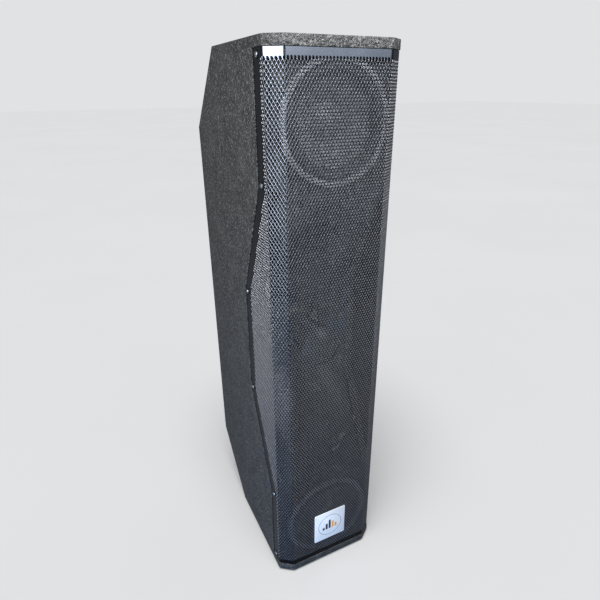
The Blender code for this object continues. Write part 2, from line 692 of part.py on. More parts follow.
def handle():
    tray("handle_cup", HANDLE_INSIDE, HANDLE_FLANGE, HANDLE_HEIGHT, HANDLE_FLOOR, (0.025, 0.025, 0.025))
    reach = HANDLE_INSIDE[0] / 2 - GAP
    outline = ring_points(HANDLE_BAR_RADIUS, 16, REAR_FACE - 12, HANDLE_HEIGHT + 10)
    smooth(add_object("handle_grip", along_x(outline, -reach, reach), (0.03, 0.03, 0.03), 0.6))


def crossover():
    """The board behind the rear panel's lower part, with its capacitors, and an air-cored inductor."""
    low, high = BOARD_LOW, BOARD_HIGH
    face = REAR_FACE - PLY - 8
    plate = along_depth(rectangle(BOARD_HALF_WIDTH, low, high), face, face + 1.6)
    obj = add_object("crossover_board", plate, (0.03, 0.12, 0.06), 0.6)
    cans = [along_depth(ring_points(9, 12, x, high - 25), face - 30, face + 0.8) for x in (8, 34)]
    boolean(obj, merged(cans), "UNION")
    ring = [(12, face - 22), (27, face - 22), (27, face - GAP), (12, face - GAP)]
    location = point(-28, 0, (low + high) / 2)
    smooth(add_object("crossover_inductor", turned(ring, 20), (0.55, 0.25, 0.1), 0.4, 0.9, location))


def build():
    clear_scene()
    cabinet_shell()
    baffle("baffle_upper", 1)
    baffle("baffle_lower", -1)
    divider("divider_upper", 1)
    divider("divider_lower", -1)
    feet()
    grille()
    grille_screws()
    badge()
    woofer("upper_woofer", 1)
    woofer("lower_woofer", -1)
    horn()
    phase_plug()
    centre_driver()
    connector_dish()
    sockets()
    handle()
    crossover()


build()
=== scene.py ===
"""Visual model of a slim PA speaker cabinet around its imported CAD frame: two woofers and a centre horn
behind one folded perforated grille. Metres, +Z up, front facing -Y. Shapes are drawn in millimetres as
(x, depth behind the front, height above the cabinet's middle) and placed by the frame."""

from math import atan2, cos, hypot, pi, radians, sin, sqrt, tan

import bmesh
import bpy
import numpy as np
from mathutils import Matrix, Vector


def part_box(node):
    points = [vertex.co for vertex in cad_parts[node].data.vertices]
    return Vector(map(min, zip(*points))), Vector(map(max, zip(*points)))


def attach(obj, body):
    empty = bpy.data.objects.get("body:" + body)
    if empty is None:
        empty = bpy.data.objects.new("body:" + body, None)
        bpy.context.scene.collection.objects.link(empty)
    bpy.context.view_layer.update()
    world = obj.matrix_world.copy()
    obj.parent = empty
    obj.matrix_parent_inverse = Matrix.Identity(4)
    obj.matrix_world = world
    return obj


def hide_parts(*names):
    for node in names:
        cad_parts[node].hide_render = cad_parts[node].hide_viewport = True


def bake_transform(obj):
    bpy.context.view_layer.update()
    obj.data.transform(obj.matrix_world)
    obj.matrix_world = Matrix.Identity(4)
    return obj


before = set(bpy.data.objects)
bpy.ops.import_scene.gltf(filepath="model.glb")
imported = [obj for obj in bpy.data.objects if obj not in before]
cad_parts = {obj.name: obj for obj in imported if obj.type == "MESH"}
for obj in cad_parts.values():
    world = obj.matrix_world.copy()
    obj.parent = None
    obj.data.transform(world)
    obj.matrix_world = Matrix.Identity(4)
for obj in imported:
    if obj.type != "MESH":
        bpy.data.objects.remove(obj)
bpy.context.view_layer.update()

MM = 0.001
CABINET = "cabinet"


def box_mm(node):
    """The node's lowest and highest corners as (x, depth, height)."""
    return [(to_drawing @ Vector(corner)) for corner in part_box(node)]


top_low, top_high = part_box("top_panel")
bottom_low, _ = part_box("bottom_panel")
to_world = Matrix.Translation((0, top_low.y, (top_high.z + bottom_low.z) / 2)) @ Matrix.Scale(MM, 4)
to_drawing = to_world.inverted()

# Cabinet, read from the frame
HALF_WIDTH = box_mm("side_panel_right")[1].x
HALF_HEIGHT = box_mm("top_panel")[1].z
PLY = 15
END_DEPTH = box_mm("top_panel")[1].y
REAR_FACE = box_mm("side_panel_right")[1].y
TAPER_HEIGHT = 137
CHAMFER_WIDTH, CHAMFER_DEPTH = 26.7, 19.4
CORNER_RADIUS = 7
ARRIS = 1.8
INNER_HALF = HALF_WIDTH - PLY
CUT_SHALLOW, CUT_DEEP = 52, 140.5
CUT_OUTER, CUT_INNER = 314, 111
LEDGE, REBATE = 24, 3.1


# Shapes: each is a list of points and a list of faces


def mesh_of(name, points, faces):
    mesh = bpy.data.meshes.new(name)
    mesh.from_pydata(points, [], faces)
    return mesh


def opened(points, faces):
    """The points and faces as a bmesh."""
    mesh = mesh_of("shape", points, faces)
    bm = bmesh.new()
    bm.from_mesh(mesh)
    bpy.data.meshes.remove(mesh)
    return bm


def listed(bm):
    """A bmesh as points and faces, with its faces turned out."""
    bmesh.ops.recalc_face_normals(bm, faces=bm.faces)
    bm.verts.index_update()
    shape = [tuple(v.co) for v in bm.verts], [[v.index for v in f.verts] for f in bm.faces]
    bm.free()
    return shape


def merged(*shapes):
    """Several shapes as one."""
    points, faces = [], []
    for more_points, more_faces in shapes:
        start = len(points)
        points += more_points
        faces += [[start + i for i in face] for face in more_faces]
    return points, faces


def moved(shape, *matrices):
    """A copy of the shape for each matrix, all as one shape."""
    points, faces = shape
    return merged(*[([tuple(m @ Vector(p)) for p in points], faces) for m in matrices])


def shift(x=0, depth=0, height=0):
    return Matrix.Translation((x, depth, height))


def turn(angle, axis="Y"):
    return Matrix.Rotation(angle, 4, axis)


def thickened(front, back, faces):
    """Faces over the front points, the same over the back points, and walls round every open edge."""
    count = len(front)
    edges = {(face[i - 1], face[i]) for face in faces for i in range(len(face))}
    walls = []
    for face in faces:
        for i in range(len(face)):
            a, b = face[i - 1], face[i]
            if (b, a) not in edges:
                walls.append((b, a, a + count, b + count))
    reverse = [[i + count for i in reversed(face)] for face in faces]
    return front + back, [list(face) for face in faces] + reverse + walls


def lofted(rings, closed=False):
    """A skin through rings of equal count. Open at both ends it gets caps, or else it closes on itself."""
    count = len(rings[0])
    points = [p for ring in rings for p in ring]
    faces = []
    for k in range(len(rings) if closed else len(rings) - 1):
        a, b = k * count, (k + 1) % len(rings) * count
        for i in range(count):
            j = (i + 1) % count
            faces.append([a + i, a + j, b + j, b + i])
    if not closed:
        faces.append(list(range(count))[::-1])
        faces.append([len(points) - count + i for i in range(count)])
    return turned_out(points, faces)


def turned_out(points, faces):
    """The shape with repeated points merged and all its faces pointing out."""
    bm = opened(points, faces)
    bmesh.ops.remove_doubles(bm, verts=bm.verts, dist=1e-4)
    return listed(bm)


def plain_radius(_, radius, angle):
    return radius


def turned(profile, steps=96, radius_at=plain_radius):
    """A closed (radius, depth) outline turned about the depth axis. radius_at may bend any of its rings."""
    rings = []
    for k in range(steps):
        angle = 2 * pi * k / steps
        ring = []
        for i, (radius, depth) in enumerate(profile):
            r = radius_at(i, radius, angle)
            ring.append((r * cos(angle), depth, r * sin(angle)))
        rings.append(ring)
    return lofted(rings, closed=True)


def turned_wall(front, back, steps=96, span=None, keep=None):
    """A thin wall between two (radius, depth) lines, over a full turn or a span of angles."""
    start, end = span or (0, 2 * pi)
    count = steps if span is None else steps + 1
    angles = [start + (end - start) * k / steps for k in range(count)]
    faces = []
    for ring in range(len(front) - 1):
        for k in range(steps):
            if keep is None or keep(ring, k):
                a, b = ring * count + k, ring * count + (k + 1) % count
                faces.append([a, a + count, b + count, b])
    layers = [[(r * cos(a), d, r * sin(a)) for r, d in line for a in angles] for line in (front, back)]
    points, faces = thickened(*layers, faces)
    used = sorted({i for face in faces for i in face})
    new = {old: k for k, old in enumerate(used)}
    return turned_out([points[i] for i in used], [[new[i] for i in face] for face in faces])


def prism(outline, step):
    """A flat outline of points pulled along a step."""
    far = [tuple(Vector(p) + Vector(step)) for p in outline]
    return lofted([outline, far])


def rounded(corners, radius, steps=6):
    """The flat outline with each corner replaced by an arc of this radius."""
    outline = []
    count = len(corners)
    for i, corner in enumerate(corners):
        here = Vector(corner)
        before = (Vector(corners[i - 1]) - here).normalized()
        after = (Vector(corners[(i + 1) % count]) - here).normalized()
        half = before.angle(after) / 2
        centre = here + (before + after).normalized() * (radius / sin(half))
        tangent = radius * cos(half) / sin(half)
        start = (here + before * tangent - centre).normalized()
        end = (here + after * tangent - centre).normalized()
        outline += [tuple(centre + start.slerp(end, k / steps) * radius) for k in range(steps + 1)]
    return outline


def rounded_ring(width, tall, radius, depth, height=0, x=0):
    """A ring of points on a rounded rectangle that faces the front, at one depth."""
    w, h = width / 2, tall / 2
    corners = rounded([(-w, -h), (w, -h), (w, h), (-w, h)], radius)
    return [(x + a, depth, height + b) for a, b in corners]


def bevelled(shape, wanted, width, segments=3):
    """The shape with the edges for which wanted(a, b) holds rounded."""
    bm = opened(*shape)
    edges = [e for e in bm.edges if wanted(e.verts[0].co, e.verts[1].co)]
    bmesh.ops.bevel(bm, geom=edges, offset=width, segments=segments, affect="EDGES", profile=0.5)
    return listed(bm)


# Materials


def add_node(tree, kind, inputs=None, **settings):
    made = tree.nodes.new(kind)
    for key, value in settings.items():
        setattr(made, key, value)
    for key, value in (inputs or {}).items():
        if isinstance(value, bpy.types.NodeSocket):
            tree.links.new(value, made.inputs[key])
        else:
            made.inputs[key].default_value = value
    return made


def computed(tree, operation, *values):
    """What a math node makes of these values. Each is a number or a socket."""
    return add_node(tree, "ShaderNodeMath", dict(enumerate(values)), operation=operation).outputs[0]


def noise(tree, where, scale, detail=2):
    inputs = {"Vector": where, "Scale": scale, "Detail": detail, "Roughness": 0.6}
    return add_node(tree, "ShaderNodeTexNoise", inputs).outputs["Fac"]


def cells(tree, where, scale):
    made = add_node(tree, "ShaderNodeTexVoronoi", {"Vector": where, "Scale": scale}, feature="SMOOTH_F1")
    return made.outputs["Distance"]


def weave(tree, where, scale):
    """Threads over and under each other in x and in height."""
    split = add_node(tree, "ShaderNodeSeparateXYZ", {"Vector": where})
    runs = [computed(tree, "MULTIPLY", split.outputs[axis], scale) for axis in "XZ"]
    return computed(tree, "MULTIPLY", *[computed(tree, "SINE", run) for run in runs])


RELIEFS = {"noise": noise, "cells": cells, "weave": weave}


def ranged(tree, value, low, high, to_low=0, to_high=1):
    inputs = {"Value": value, "From Min": low, "From Max": high, "To Min": to_low, "To Max": to_high}
    return add_node(tree, "ShaderNodeMapRange", inputs).outputs["Result"]


def blended(tree, factor, a, b):
    """Colour a turning to colour b. Either may be a colour or a socket."""
    made = add_node(tree, "ShaderNodeMix", data_type="RGBA")
    sockets = {"Factor_Float": factor, "A_Color": a, "B_Color": b}
    for socket in made.inputs:
        value = sockets.get(socket.identifier)
        if isinstance(value, bpy.types.NodeSocket):
            tree.links.new(value, socket)
        elif isinstance(value, tuple):
            socket.default_value = (*value, 1)
    return next(s for s in made.outputs if s.identifier == "Result_Color")


MATERIALS = {}
# Pale grey that faces pointing up are lightened towards.
TOP_PALE_TONE = (0.32, 0.31, 0.3)
FINE_GRAIN = [("noise", 900, 1)]


def surface(slot, dark, light, rough, *relief, mottle=12, stretch=(1, 1, 1), specks_and_glints=None, pale_on_top=0,
            depth=0.0004, **fixed):
    """A material of two mottled tones with specks, which on the textured paint are painted glints on its
    bumps, lightened in patches on faces that point up, with uneven roughness and a relief. Each part of the
    relief is its kind, scale and weight."""
    material = bpy.data.materials.new(slot)
    material.use_nodes = True
    tree = material.node_tree
    shader = tree.nodes["Principled BSDF"]
    place = add_node(tree, "ShaderNodeTexCoord").outputs["Object"]
    where = add_node(tree, "ShaderNodeMapping", {"Vector": place, "Scale": stretch}).outputs["Vector"]
    tone = ranged(tree, noise(tree, where, mottle, 4), 0.35, 0.65)
    colour = blended(tree, tone, dark, light)
    if specks_and_glints:
        # On the textured paint these pale specks are painted glints on the bumps of the coat; on other
        # materials they are the thing's own specks.
        speck_and_glint, scale, low, high = specks_and_glints
        colour = blended(tree, ranged(tree, noise(tree, where, scale), low, high), colour, speck_and_glint)
    # Faces that point up are lightened in patches towards a pale grey.
    if pale_on_top:
        facing = add_node(tree, "ShaderNodeNewGeometry").outputs["Normal"]
        up = add_node(tree, "ShaderNodeSeparateXYZ", {"Vector": facing}).outputs["Z"]
        patchy = ranged(tree, noise(tree, where, 60, 5), 0.35, 0.7)
        amount = computed(tree, "MULTIPLY", ranged(tree, up, 0.2, 1, 0, pale_on_top), patchy)
        colour = blended(tree, amount, colour, TOP_PALE_TONE)
    tree.links.new(colour, shader.inputs["Base Color"])
    uneven = noise(tree, where, mottle * 3.1, 5)
    tree.links.new(ranged(tree, uneven, 0.3, 0.7, *rough), shader.inputs["Roughness"])
    total = 0
    for kind, scale, weight in relief or FINE_GRAIN:
        total = computed(tree, "MULTIPLY_ADD", RELIEFS[kind](tree, where, scale), weight, total)
    bump = add_node(tree, "ShaderNodeBump", {"Height": total, "Distance": depth, "Strength": 1})
    tree.links.new(bump.outputs["Normal"], shader.inputs["Normal"])
    for key, value in fixed.items():
        shader.inputs[key.replace("_", " ")].default_value = value
    MATERIALS[slot] = material


def make_materials():
    """One material for each slot of the record, and five for the painted highlight on hole edges, the dark
    cloth that stands in for shade, print and capacitors.
    """
    # Its pale specks are painted glints on the bumps of the textured coat.
    surface("textured_paint", (0.015, 0.0152, 0.015), (0.03, 0.0302, 0.0295), (0.34, 0.5),
            ("noise", 260, 1), ("cells", 190, 0.9), ("noise", 900, 0.3), mottle=30,
            specks_and_glints=((0.13, 0.133, 0.127), 280, 0.53, 0.72), pale_on_top=0.2, depth=0.0028)
    surface("baffle_black", (0.03, 0.03, 0.03), (0.05, 0.049, 0.048), (0.6, 0.8), ("noise", 160, 1),
            ("noise", 900, 0.4), stretch=(1, 1, 0.15), pale_on_top=0.1)
    surface("plywood", (0.36, 0.24, 0.12), (0.58, 0.43, 0.25), (0.55, 0.8), ("noise", 220, 1),
            mottle=70, stretch=(0.12, 1, 1), depth=0.0003)
    surface("foot_rubber", (0.012, 0.012, 0.012), (0.024, 0.024, 0.024), (0.7, 0.9), mottle=90, pale_on_top=0.3)
    surface("grille_steel", (0.022, 0.025, 0.031), (0.032, 0.036, 0.043), (0.2, 0.28), ("noise", 700, 1),
            ("noise", 2200, 0.3), mottle=9, depth=0.00006, Metallic=1)
    # Lighter than the sheet: a painted highlight on the walls of the holes.
    surface("punched_edge", (0.062, 0.065, 0.072), (0.095, 0.098, 0.107), (0.38, 0.48), mottle=120,
            depth=0.00005, Metallic=0.4)
    surface("screw_zinc", (0.52, 0.53, 0.55), (0.74, 0.74, 0.72), (0.2, 0.38), ("noise", 1500, 1),
            mottle=260, depth=0.00008, Metallic=1)
    surface("badge_face", (0.74, 0.73, 0.7), (0.86, 0.84, 0.8), (0.3, 0.42), ("noise", 500, 1),
            mottle=16, depth=0.00005, Coat_Weight=0.3)
    surface("moulded_plastic", (0.013, 0.013, 0.0135), (0.02, 0.02, 0.021), (0.42, 0.56),
            ("cells", 850, 1), ("noise", 300, 0.4), mottle=24, pale_on_top=0.15, depth=0.0003)
    surface("gloss_plastic", (0.05, 0.053, 0.06), (0.075, 0.079, 0.087), (0.16, 0.3), ("noise", 60, 1),
            ("noise", 800, 0.08), mottle=14, depth=0.0006)
    surface("grip_rubber", (0.013, 0.013, 0.013), (0.022, 0.022, 0.022), (0.62, 0.8), ("cells", 1200, 1),
            mottle=50, depth=0.0003)
    surface("plated_steel", (0.3, 0.3, 0.29), (0.44, 0.43, 0.4), (0.28, 0.44), ("noise", 600, 1),
            mottle=40, stretch=(1, 4, 1), depth=0.00012, Metallic=1)
    surface("ferrite", (0.035, 0.035, 0.038), (0.065, 0.064, 0.064), (0.45, 0.65), ("noise", 700, 1),
            ("cells", 200, 0.5), mottle=60, Metallic=0.2)
    surface("diaphragm_film", (0.09, 0.085, 0.075), (0.13, 0.12, 0.1), (0.3, 0.45), ("noise", 240, 1),
            mottle=50, depth=0.0002)
    surface("socket_plastic", (0.016, 0.03, 0.085), (0.024, 0.042, 0.12), (0.35, 0.5),
            ("cells", 1000, 1), mottle=60, depth=0.0002)
    surface("circuit_board", (0.012, 0.07, 0.03), (0.03, 0.13, 0.06), (0.35, 0.5), ("noise", 500, 1),
            mottle=130, depth=0.0001, specks_and_glints=((0.45, 0.4, 0.3), 190, 0.68, 0.7))
    surface("copper_wire", (0.42, 0.16, 0.05), (0.6, 0.27, 0.1), (0.25, 0.4), mottle=90, depth=0.0001,
            Metallic=0.9)
    surface("frame_paint", (0.04, 0.04, 0.043), (0.06, 0.06, 0.064), (0.36, 0.5), ("noise", 500, 1),
            mottle=40, depth=0.0002, pale_on_top=0.15)
    surface("gasket_rubber", (0.2, 0.2, 0.21), (0.27, 0.27, 0.28), (0.4, 0.55), mottle=70, depth=0.0003)
    surface("surround_cloth", (0.06, 0.061, 0.064), (0.09, 0.091, 0.095), (0.34, 0.5),
            ("weave", 5200, 1), ("noise", 260, 0.7), mottle=60, depth=0.00025)
    surface("cone_paper", (0.11, 0.112, 0.117), (0.16, 0.162, 0.168), (0.5, 0.7), ("noise", 420, 1),
            ("noise", 1700, 0.5), mottle=120, depth=0.0005,
            specks_and_glints=((0.24, 0.24, 0.245), 900, 0.64, 0.72))
    surface("dust_cap_paper", (0.11, 0.112, 0.117), (0.15, 0.152, 0.158), (0.32, 0.46),
            ("noise", 520, 1), ("noise", 1900, 0.4), mottle=120, depth=0.0003)
    surface("spider_cloth", (0.36, 0.24, 0.1), (0.52, 0.38, 0.18), (0.75, 0.9), ("weave", 4200, 1),
            ("noise", 500, 0.5), mottle=70, depth=0.0004)
    # Near-black cloth, a dark sheet standing in for the shade behind the wings.
    surface("black_cloth", (0.004, 0.0045, 0.006), (0.008, 0.0085, 0.011), (0.85, 0.95),
            ("weave", 5600, 1), ("noise", 300, 0.4), mottle=90, depth=0.0003,
            Specular_IOR_Level=0.15)
    surface("badge_ink", (0.012, 0.012, 0.014), (0.03, 0.03, 0.034), (0.35, 0.5), mottle=200,
            depth=0.00005)
    surface("badge_orange", (0.75, 0.3, 0.05), (0.9, 0.42, 0.08), (0.35, 0.5), mottle=200, depth=0.00005)
    surface("capacitor_film", (0.16, 0.05, 0.03), (0.26, 0.09, 0.05), (0.3, 0.45), ("noise", 300, 1),
            mottle=60, depth=0.0002)


def shown(name, data):
    """A new object with this data, in the scene."""
    obj = bpy.data.objects.new(name, data)
    bpy.context.scene.collection.objects.link(obj)
    return obj


def piece(name, shape, slot, nodes=(), body=CABINET, angle=35, finish=None, ride=True):
    """A shown piece: its mesh in the frame's place, its material and the body it rides on."""
    mesh = mesh_of(name, *shape)
    mesh.transform(to_world)
    mesh.shade_smooth()
    mesh.set_sharp_from_angle(angle=radians(angle))
    mesh.materials.append(MATERIALS[finish or slot])
    obj = shown(name, mesh)
    if ride:
        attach(obj, body)
    if nodes:
        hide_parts(*nodes)
    return obj


def keep_nodes():
    """CAD nodes whose shape is right, with their record slot's material."""
    for board, slot in (("baffle", "baffle_black"), ("divider", "plywood")):
        for place in ("upper", "lower"):
            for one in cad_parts[f"{board}_{place}"].material_slots:
                one.material = MATERIALS[slot]


# Cabinet boards


MITRE = PLY * tan(atan2(TAPER_HEIGHT, REAR_FACE - END_DEPTH) / 2)


def end_board(name, node, direction):
    """The top or bottom board, full width, with chamfered corners and a mitre at its back."""
    flat = HALF_WIDTH - CHAMFER_WIDTH
    front = rounded(
        [(-HALF_WIDTH, END_DEPTH), (-HALF_WIDTH, CHAMFER_DEPTH), (-flat, 0), (flat, 0),
         (HALF_WIDTH, CHAMFER_DEPTH), (HALF_WIDTH, END_DEPTH)], CORNER_RADIUS)[7:-7]
    outer, inner = direction * HALF_HEIGHT, direction * (HALF_HEIGHT - PLY)

    def ring(height, back):
        return [(-HALF_WIDTH, back, height), *[(x, d, height) for x, d in front], (HALF_WIDTH, back, height)]

    shape = lofted([ring(outer, END_DEPTH), ring(inner, END_DEPTH - MITRE)])

    def on_outer(v):
        return abs(v.z - outer) < 0.1

    def wanted(a, b):
        at_back = a.y > END_DEPTH - 0.1 and b.y > END_DEPTH - 0.1
        return on_outer(a) and on_outer(b) and not at_back

    def under(a, b):
        level = abs(a.z - inner) < 0.1 and abs(b.z - inner) < 0.1
        return level and max(a.y, b.y) < CHAMFER_DEPTH + CORNER_RADIUS

    shape = bevelled(shape, wanted, ARRIS, 4)
    piece(name, bevelled(shape, under, 0.8, 2), "textured_paint", [node])


def cut_line(offset):
    """The side cut-out's edge from the top down, moved forwards by offset, as (depth, height)."""
    shallow, deep, end = CUT_SHALLOW - offset, CUT_DEEP - offset, HALF_HEIGHT - PLY
    return [(shallow, end), (shallow, CUT_OUTER), (deep, CUT_INNER), (deep, -CUT_INNER),
            (shallow, -CUT_OUTER), (shallow, -end)]


def side_board(name, node, side):
    """A side board with the rebated ledge under the wing of the grille."""
    end, back = HALF_HEIGHT - PLY, END_DEPTH - MITRE
    slant = HALF_HEIGHT - TAPER_HEIGHT
    rear = [(back, -end), (END_DEPTH, -HALF_HEIGHT), (REAR_FACE, -slant), (REAR_FACE, slant),
            (END_DEPTH, HALF_HEIGHT), (back, end)]
    edge, ledge = cut_line(0), cut_line(LEDGE)
    outer, low, inner = side * HALF_WIDTH, side * (HALF_WIDTH - REBATE), side * INNER_HALF
    points = []

    def add(x, line):
        start = len(points)
        points.extend((x, d, h) for d, h in line)
        return list(range(start, len(points)))

    top_edge, top_rear = add(outer, edge), add(outer, rear)
    step, lip = add(low, edge), add(low, ledge)
    under_lip, under_rear = add(inner, ledge), add(inner, rear)
    faces = [top_edge + top_rear, (under_lip + under_rear)[::-1]]
    for a, b in ((top_edge, step), (step, lip), (lip, under_lip)):
        faces += [[a[i], b[i], b[i + 1], a[i + 1]] for i in range(len(a) - 1)]
    for i in range(len(rear) - 1):
        faces.append([top_rear[i], top_rear[i + 1], under_rear[i + 1], under_rear[i]])
    faces.append([top_edge[-1], top_rear[0], under_rear[0], under_lip[-1], lip[-1], step[-1]])
    faces.append([top_rear[-1], top_edge[0], step[0], lip[0], under_lip[0], under_rear[-1]])
    shape = turned_out(points, faces)

    def on_outer(v):
        return abs(v.x - outer) < 0.1

    def at_back(a, b):
        return on_outer(a) and on_outer(b) and min(a.y, b.y) > END_DEPTH - 0.1

    def at_cut(a, b):
        line = {(round(d, 2), round(h, 2)) for d, h in edge}
        return on_outer(a) and on_outer(b) and all((round(v.y, 2), round(v.z, 2)) in line for v in (a, b))

    shape = bevelled(shape, at_cut, 0.9, 3)
    piece(name, bevelled(shape, at_back, ARRIS, 4), "textured_paint", [node])


def slanted_board(name, node, direction):
    """The board that slants from an end board down to the rear board."""
    slant = HALF_HEIGHT - TAPER_HEIGHT
    bend = PLY * tan(atan2(REAR_FACE - END_DEPTH, TAPER_HEIGHT) / 2)
    outline = [(END_DEPTH, HALF_HEIGHT), (REAR_FACE, slant), (REAR_FACE - PLY, slant - bend),
               (END_DEPTH - MITRE, HALF_HEIGHT - PLY)]
    shape = prism([(-INNER_HALF, d, direction * h) for d, h in outline], (2 * INNER_HALF, 0, 0))

    def corner(a, b):
        return min(a.y, b.y) > END_DEPTH - 0.1 and abs(a.x - b.x) > 1

    piece(name, bevelled(shape, corner, 0.7, 3), "textured_paint", [node])


DISH_HEIGHT, DISH_INSIDE, DISH_FLANGE, DISH_FLOOR = -190, (104, 64), (130, 90), 352
CUP_HEIGHT, CUP_INSIDE, CUP_FLANGE, CUP_FLOOR = 120, (124, 70), (150, 96), 325
MOULDING = 3


def back_board():
    """The flat rear board, as a grid of cells with those behind the dish and the cup left open."""
    dish, cup = ([size / 2 + MOULDING for size in inside] for inside in (DISH_INSIDE, CUP_INSIDE))
    slant = HALF_HEIGHT - TAPER_HEIGHT
    x_lines = [-INNER_HALF, -cup[0], -dish[0], dish[0], cup[0], INNER_HALF]
    h_lines = [-slant, DISH_HEIGHT - dish[1], DISH_HEIGHT + dish[1], CUP_HEIGHT - cup[1],
               CUP_HEIGHT + cup[1], slant]
    holes, width = {(2, 1), (1, 3), (2, 3), (3, 3)}, len(x_lines)
    ends = [[(x, d, h) for h in h_lines for x in x_lines] for d in (REAR_FACE, REAR_FACE - PLY)]
    faces = []
    for row in range(len(h_lines) - 1):
        for column in range(width - 1):
            if (column, row) not in holes:
                a = row * width + column
                faces.append([a, a + width, a + width + 1, a + 1])
    piece("cabinet_back", turned_out(*thickened(*ends, faces)), "textured_paint", ["rear_panel"])


def cabinet_boards():
    end_board("cabinet_top", "top_panel", 1)
    end_board("cabinet_bottom", "bottom_panel", -1)
    side_board("cabinet_side_left", "side_panel_left", -1)
    side_board("cabinet_side_right", "side_panel_right", 1)
    slanted_board("cabinet_back_upper", "rear_upper_panel", 1)
    slanted_board("cabinet_back_lower", "rear_lower_panel", -1)
    back_board()


# Grille


SHEET, GRILLE_FRONT, BEND = 1.2, 1.6, 3
FOLD_FRONT, FOLD_SIDE = (88.2, 1.6), (113.9, 20.3)
SHEET_END = HALF_HEIGHT - PLY - 0.6
PLAIN_BAND = 13  # unperforated height at the top and bottom
WING_MARGIN = 23  # unperforated strip along the cut-out's edge
HOLE_RADIUS = 2
FRONT_COLUMNS, CHAMFER_COLUMNS = 32, 11  # half pitches from the middle to the fold, and across a chamfer
ROW_COUNT = 207
SPLIT_COLUMN = 27
RIM_STEP = 2 * HOLE_RADIUS * sin(radians(15))  # width of one facet of a hole's wall
RIM_AREA = 1.2 * SHEET * RIM_STEP * MM * MM  # a wall facet larger than this is not in a hole
RIM_TILT = 0.8  # how far the outer face's shading leans into a hole at its rim

CHAMFER_TURN = atan2(FOLD_SIDE[1] - FOLD_FRONT[1], FOLD_SIDE[0] - FOLD_FRONT[0])
BEND_ENDS = [FOLD_FRONT[0] - BEND * tan(CHAMFER_TURN / 2)]
BEND_ENDS.append(BEND_ENDS[0] + BEND * CHAMFER_TURN)
CHAMFER_RUN = hypot(FOLD_SIDE[0] - FOLD_FRONT[0], FOLD_SIDE[1] - FOLD_FRONT[1])
CHAMFER_RUN -= BEND * (tan(CHAMFER_TURN / 2) + tan((pi / 2 - CHAMFER_TURN) / 2))
BEND_ENDS.append(BEND_ENDS[1] + CHAMFER_RUN)
BEND_ENDS.append(BEND_ENDS[2] + BEND * (pi / 2 - CHAMFER_TURN))


def sheet_point(along):
    """(x, depth, direction) on the outside of the folded sheet, along it from the middle of the front."""
    side, u = 1 if along >= 0 else -1, abs(along)
    first, second, third, fourth = BEND_ENDS
    bend = min(max(u - first, 0), second - first) / BEND
    straight = min(max(u - second, 0), CHAMFER_RUN)
    direction = bend + min(max(u - third, 0), fourth - third) / BEND
    x = min(u, first) + BEND * sin(bend) + straight * cos(CHAMFER_TURN)
    depth = GRILLE_FRONT + BEND * (1 - cos(bend)) + straight * sin(CHAMFER_TURN)
    x += BEND * (sin(direction) - sin(bend))
    depth += BEND * (cos(bend) - cos(direction)) + max(u - fourth, 0)
    return side * x, depth, side * direction


WING_START = sheet_point(BEND_ENDS[3])[1]


def cut_depth(height):
    """Depth of the cut-out's edge at a height."""
    steep = (CUT_DEEP - CUT_SHALLOW) / (CUT_OUTER - CUT_INNER)
    reach = min(max(abs(height), CUT_INNER), CUT_OUTER)
    return CUT_DEEP - steep * (reach - CUT_INNER)


def wing_end(height):
    """How far along the sheet its rear edge lies at a height."""
    return BEND_ENDS[3] + cut_depth(height) - 0.4 - WING_START


def column_lines():
    """Positions along the sheet of the lattice's columns, from the middle outwards."""
    fold = (BEND_ENDS[0] + BEND_ENDS[1]) / 2
    second_fold = (BEND_ENDS[2] + BEND_ENDS[3]) / 2
    half_pitch = fold / FRONT_COLUMNS
    lines = [half_pitch * k for k in range(FRONT_COLUMNS + 1)]
    step = (second_fold - fold) / CHAMFER_COLUMNS
    lines += [fold + step * k for k in range(1, CHAMFER_COLUMNS + 1)]
    while lines[-1] < wing_end(0):
        lines.append(lines[-1] + half_pitch)
    return lines


COLUMNS = column_lines()


def column(index):
    return COLUMNS[index] if index >= 0 else -COLUMNS[-index]


def row_lines():
    """Heights of the sheet's ends, of the rows of holes, and of one plain row beyond them at each end."""
    last = SHEET_END - PLAIN_BAND - HOLE_RADIUS
    pitch = 2 * last / (ROW_COUNT - 1)
    rows = [pitch * k - last for k in range(-1, ROW_COUNT + 1)]
    return [-SHEET_END, *rows, SHEET_END]


ROWS = row_lines()


def pierced(index, row):
    """Whether the lattice has a hole where this column and this row cross."""
    if row < 2 or row > len(ROWS) - 3 or (index + row) % 2:
        return False
    if abs(index) <= FRONT_COLUMNS + CHAMFER_COLUMNS:
        return True
    depth = WING_START + abs(column(index)) - BEND_ENDS[3]
    height = abs(ROWS[row]) + HOLE_RADIUS
    return depth + HOLE_RADIUS < cut_depth(height) - WING_MARGIN


def cell_outline(index, row):
    """One cell of the lattice as an outline, with a quarter of a hole at each pierced corner."""
    left, right, low, high = column(index), column(index + 1), ROWS[row], ROWS[row + 1]
    corners = [(left, low, index, row), (right, low, index + 1, row),
               (right, high, index + 1, row + 1), (left, high, index, row + 1)]
    outline = []
    for k, (u, h, i, j) in enumerate(corners):
        if pierced(i, j):
            for step in range(4):
                angle = radians(90 * (k + 1) - 30 * step)
                outline.append((u + HOLE_RADIUS * cos(angle), h + HOLE_RADIUS * sin(angle)))
        else:
            outline.append((u, h))
    return outline


def clipped(outline, low, high):
    """The outline cut off at the wing's rear edge, taken as straight between two heights."""
    end_low, end_high = wing_end(low), wing_end(high)

    def beyond(point):
        share = (point[1] - low) / (high - low)
        return abs(point[0]) - (end_low + (end_high - end_low) * share)

    kept = []
    for a, b in zip(outline, outline[1:] + outline[:1]):
        over_a, over_b = beyond(a), beyond(b)
        if over_a <= 0:
            kept.append(a)
        if over_a * over_b < 0:
            share = over_a / (over_a - over_b)
            kept.append((a[0] + (b[0] - a[0]) * share, a[1] + (b[1] - a[1]) * share))
    return kept


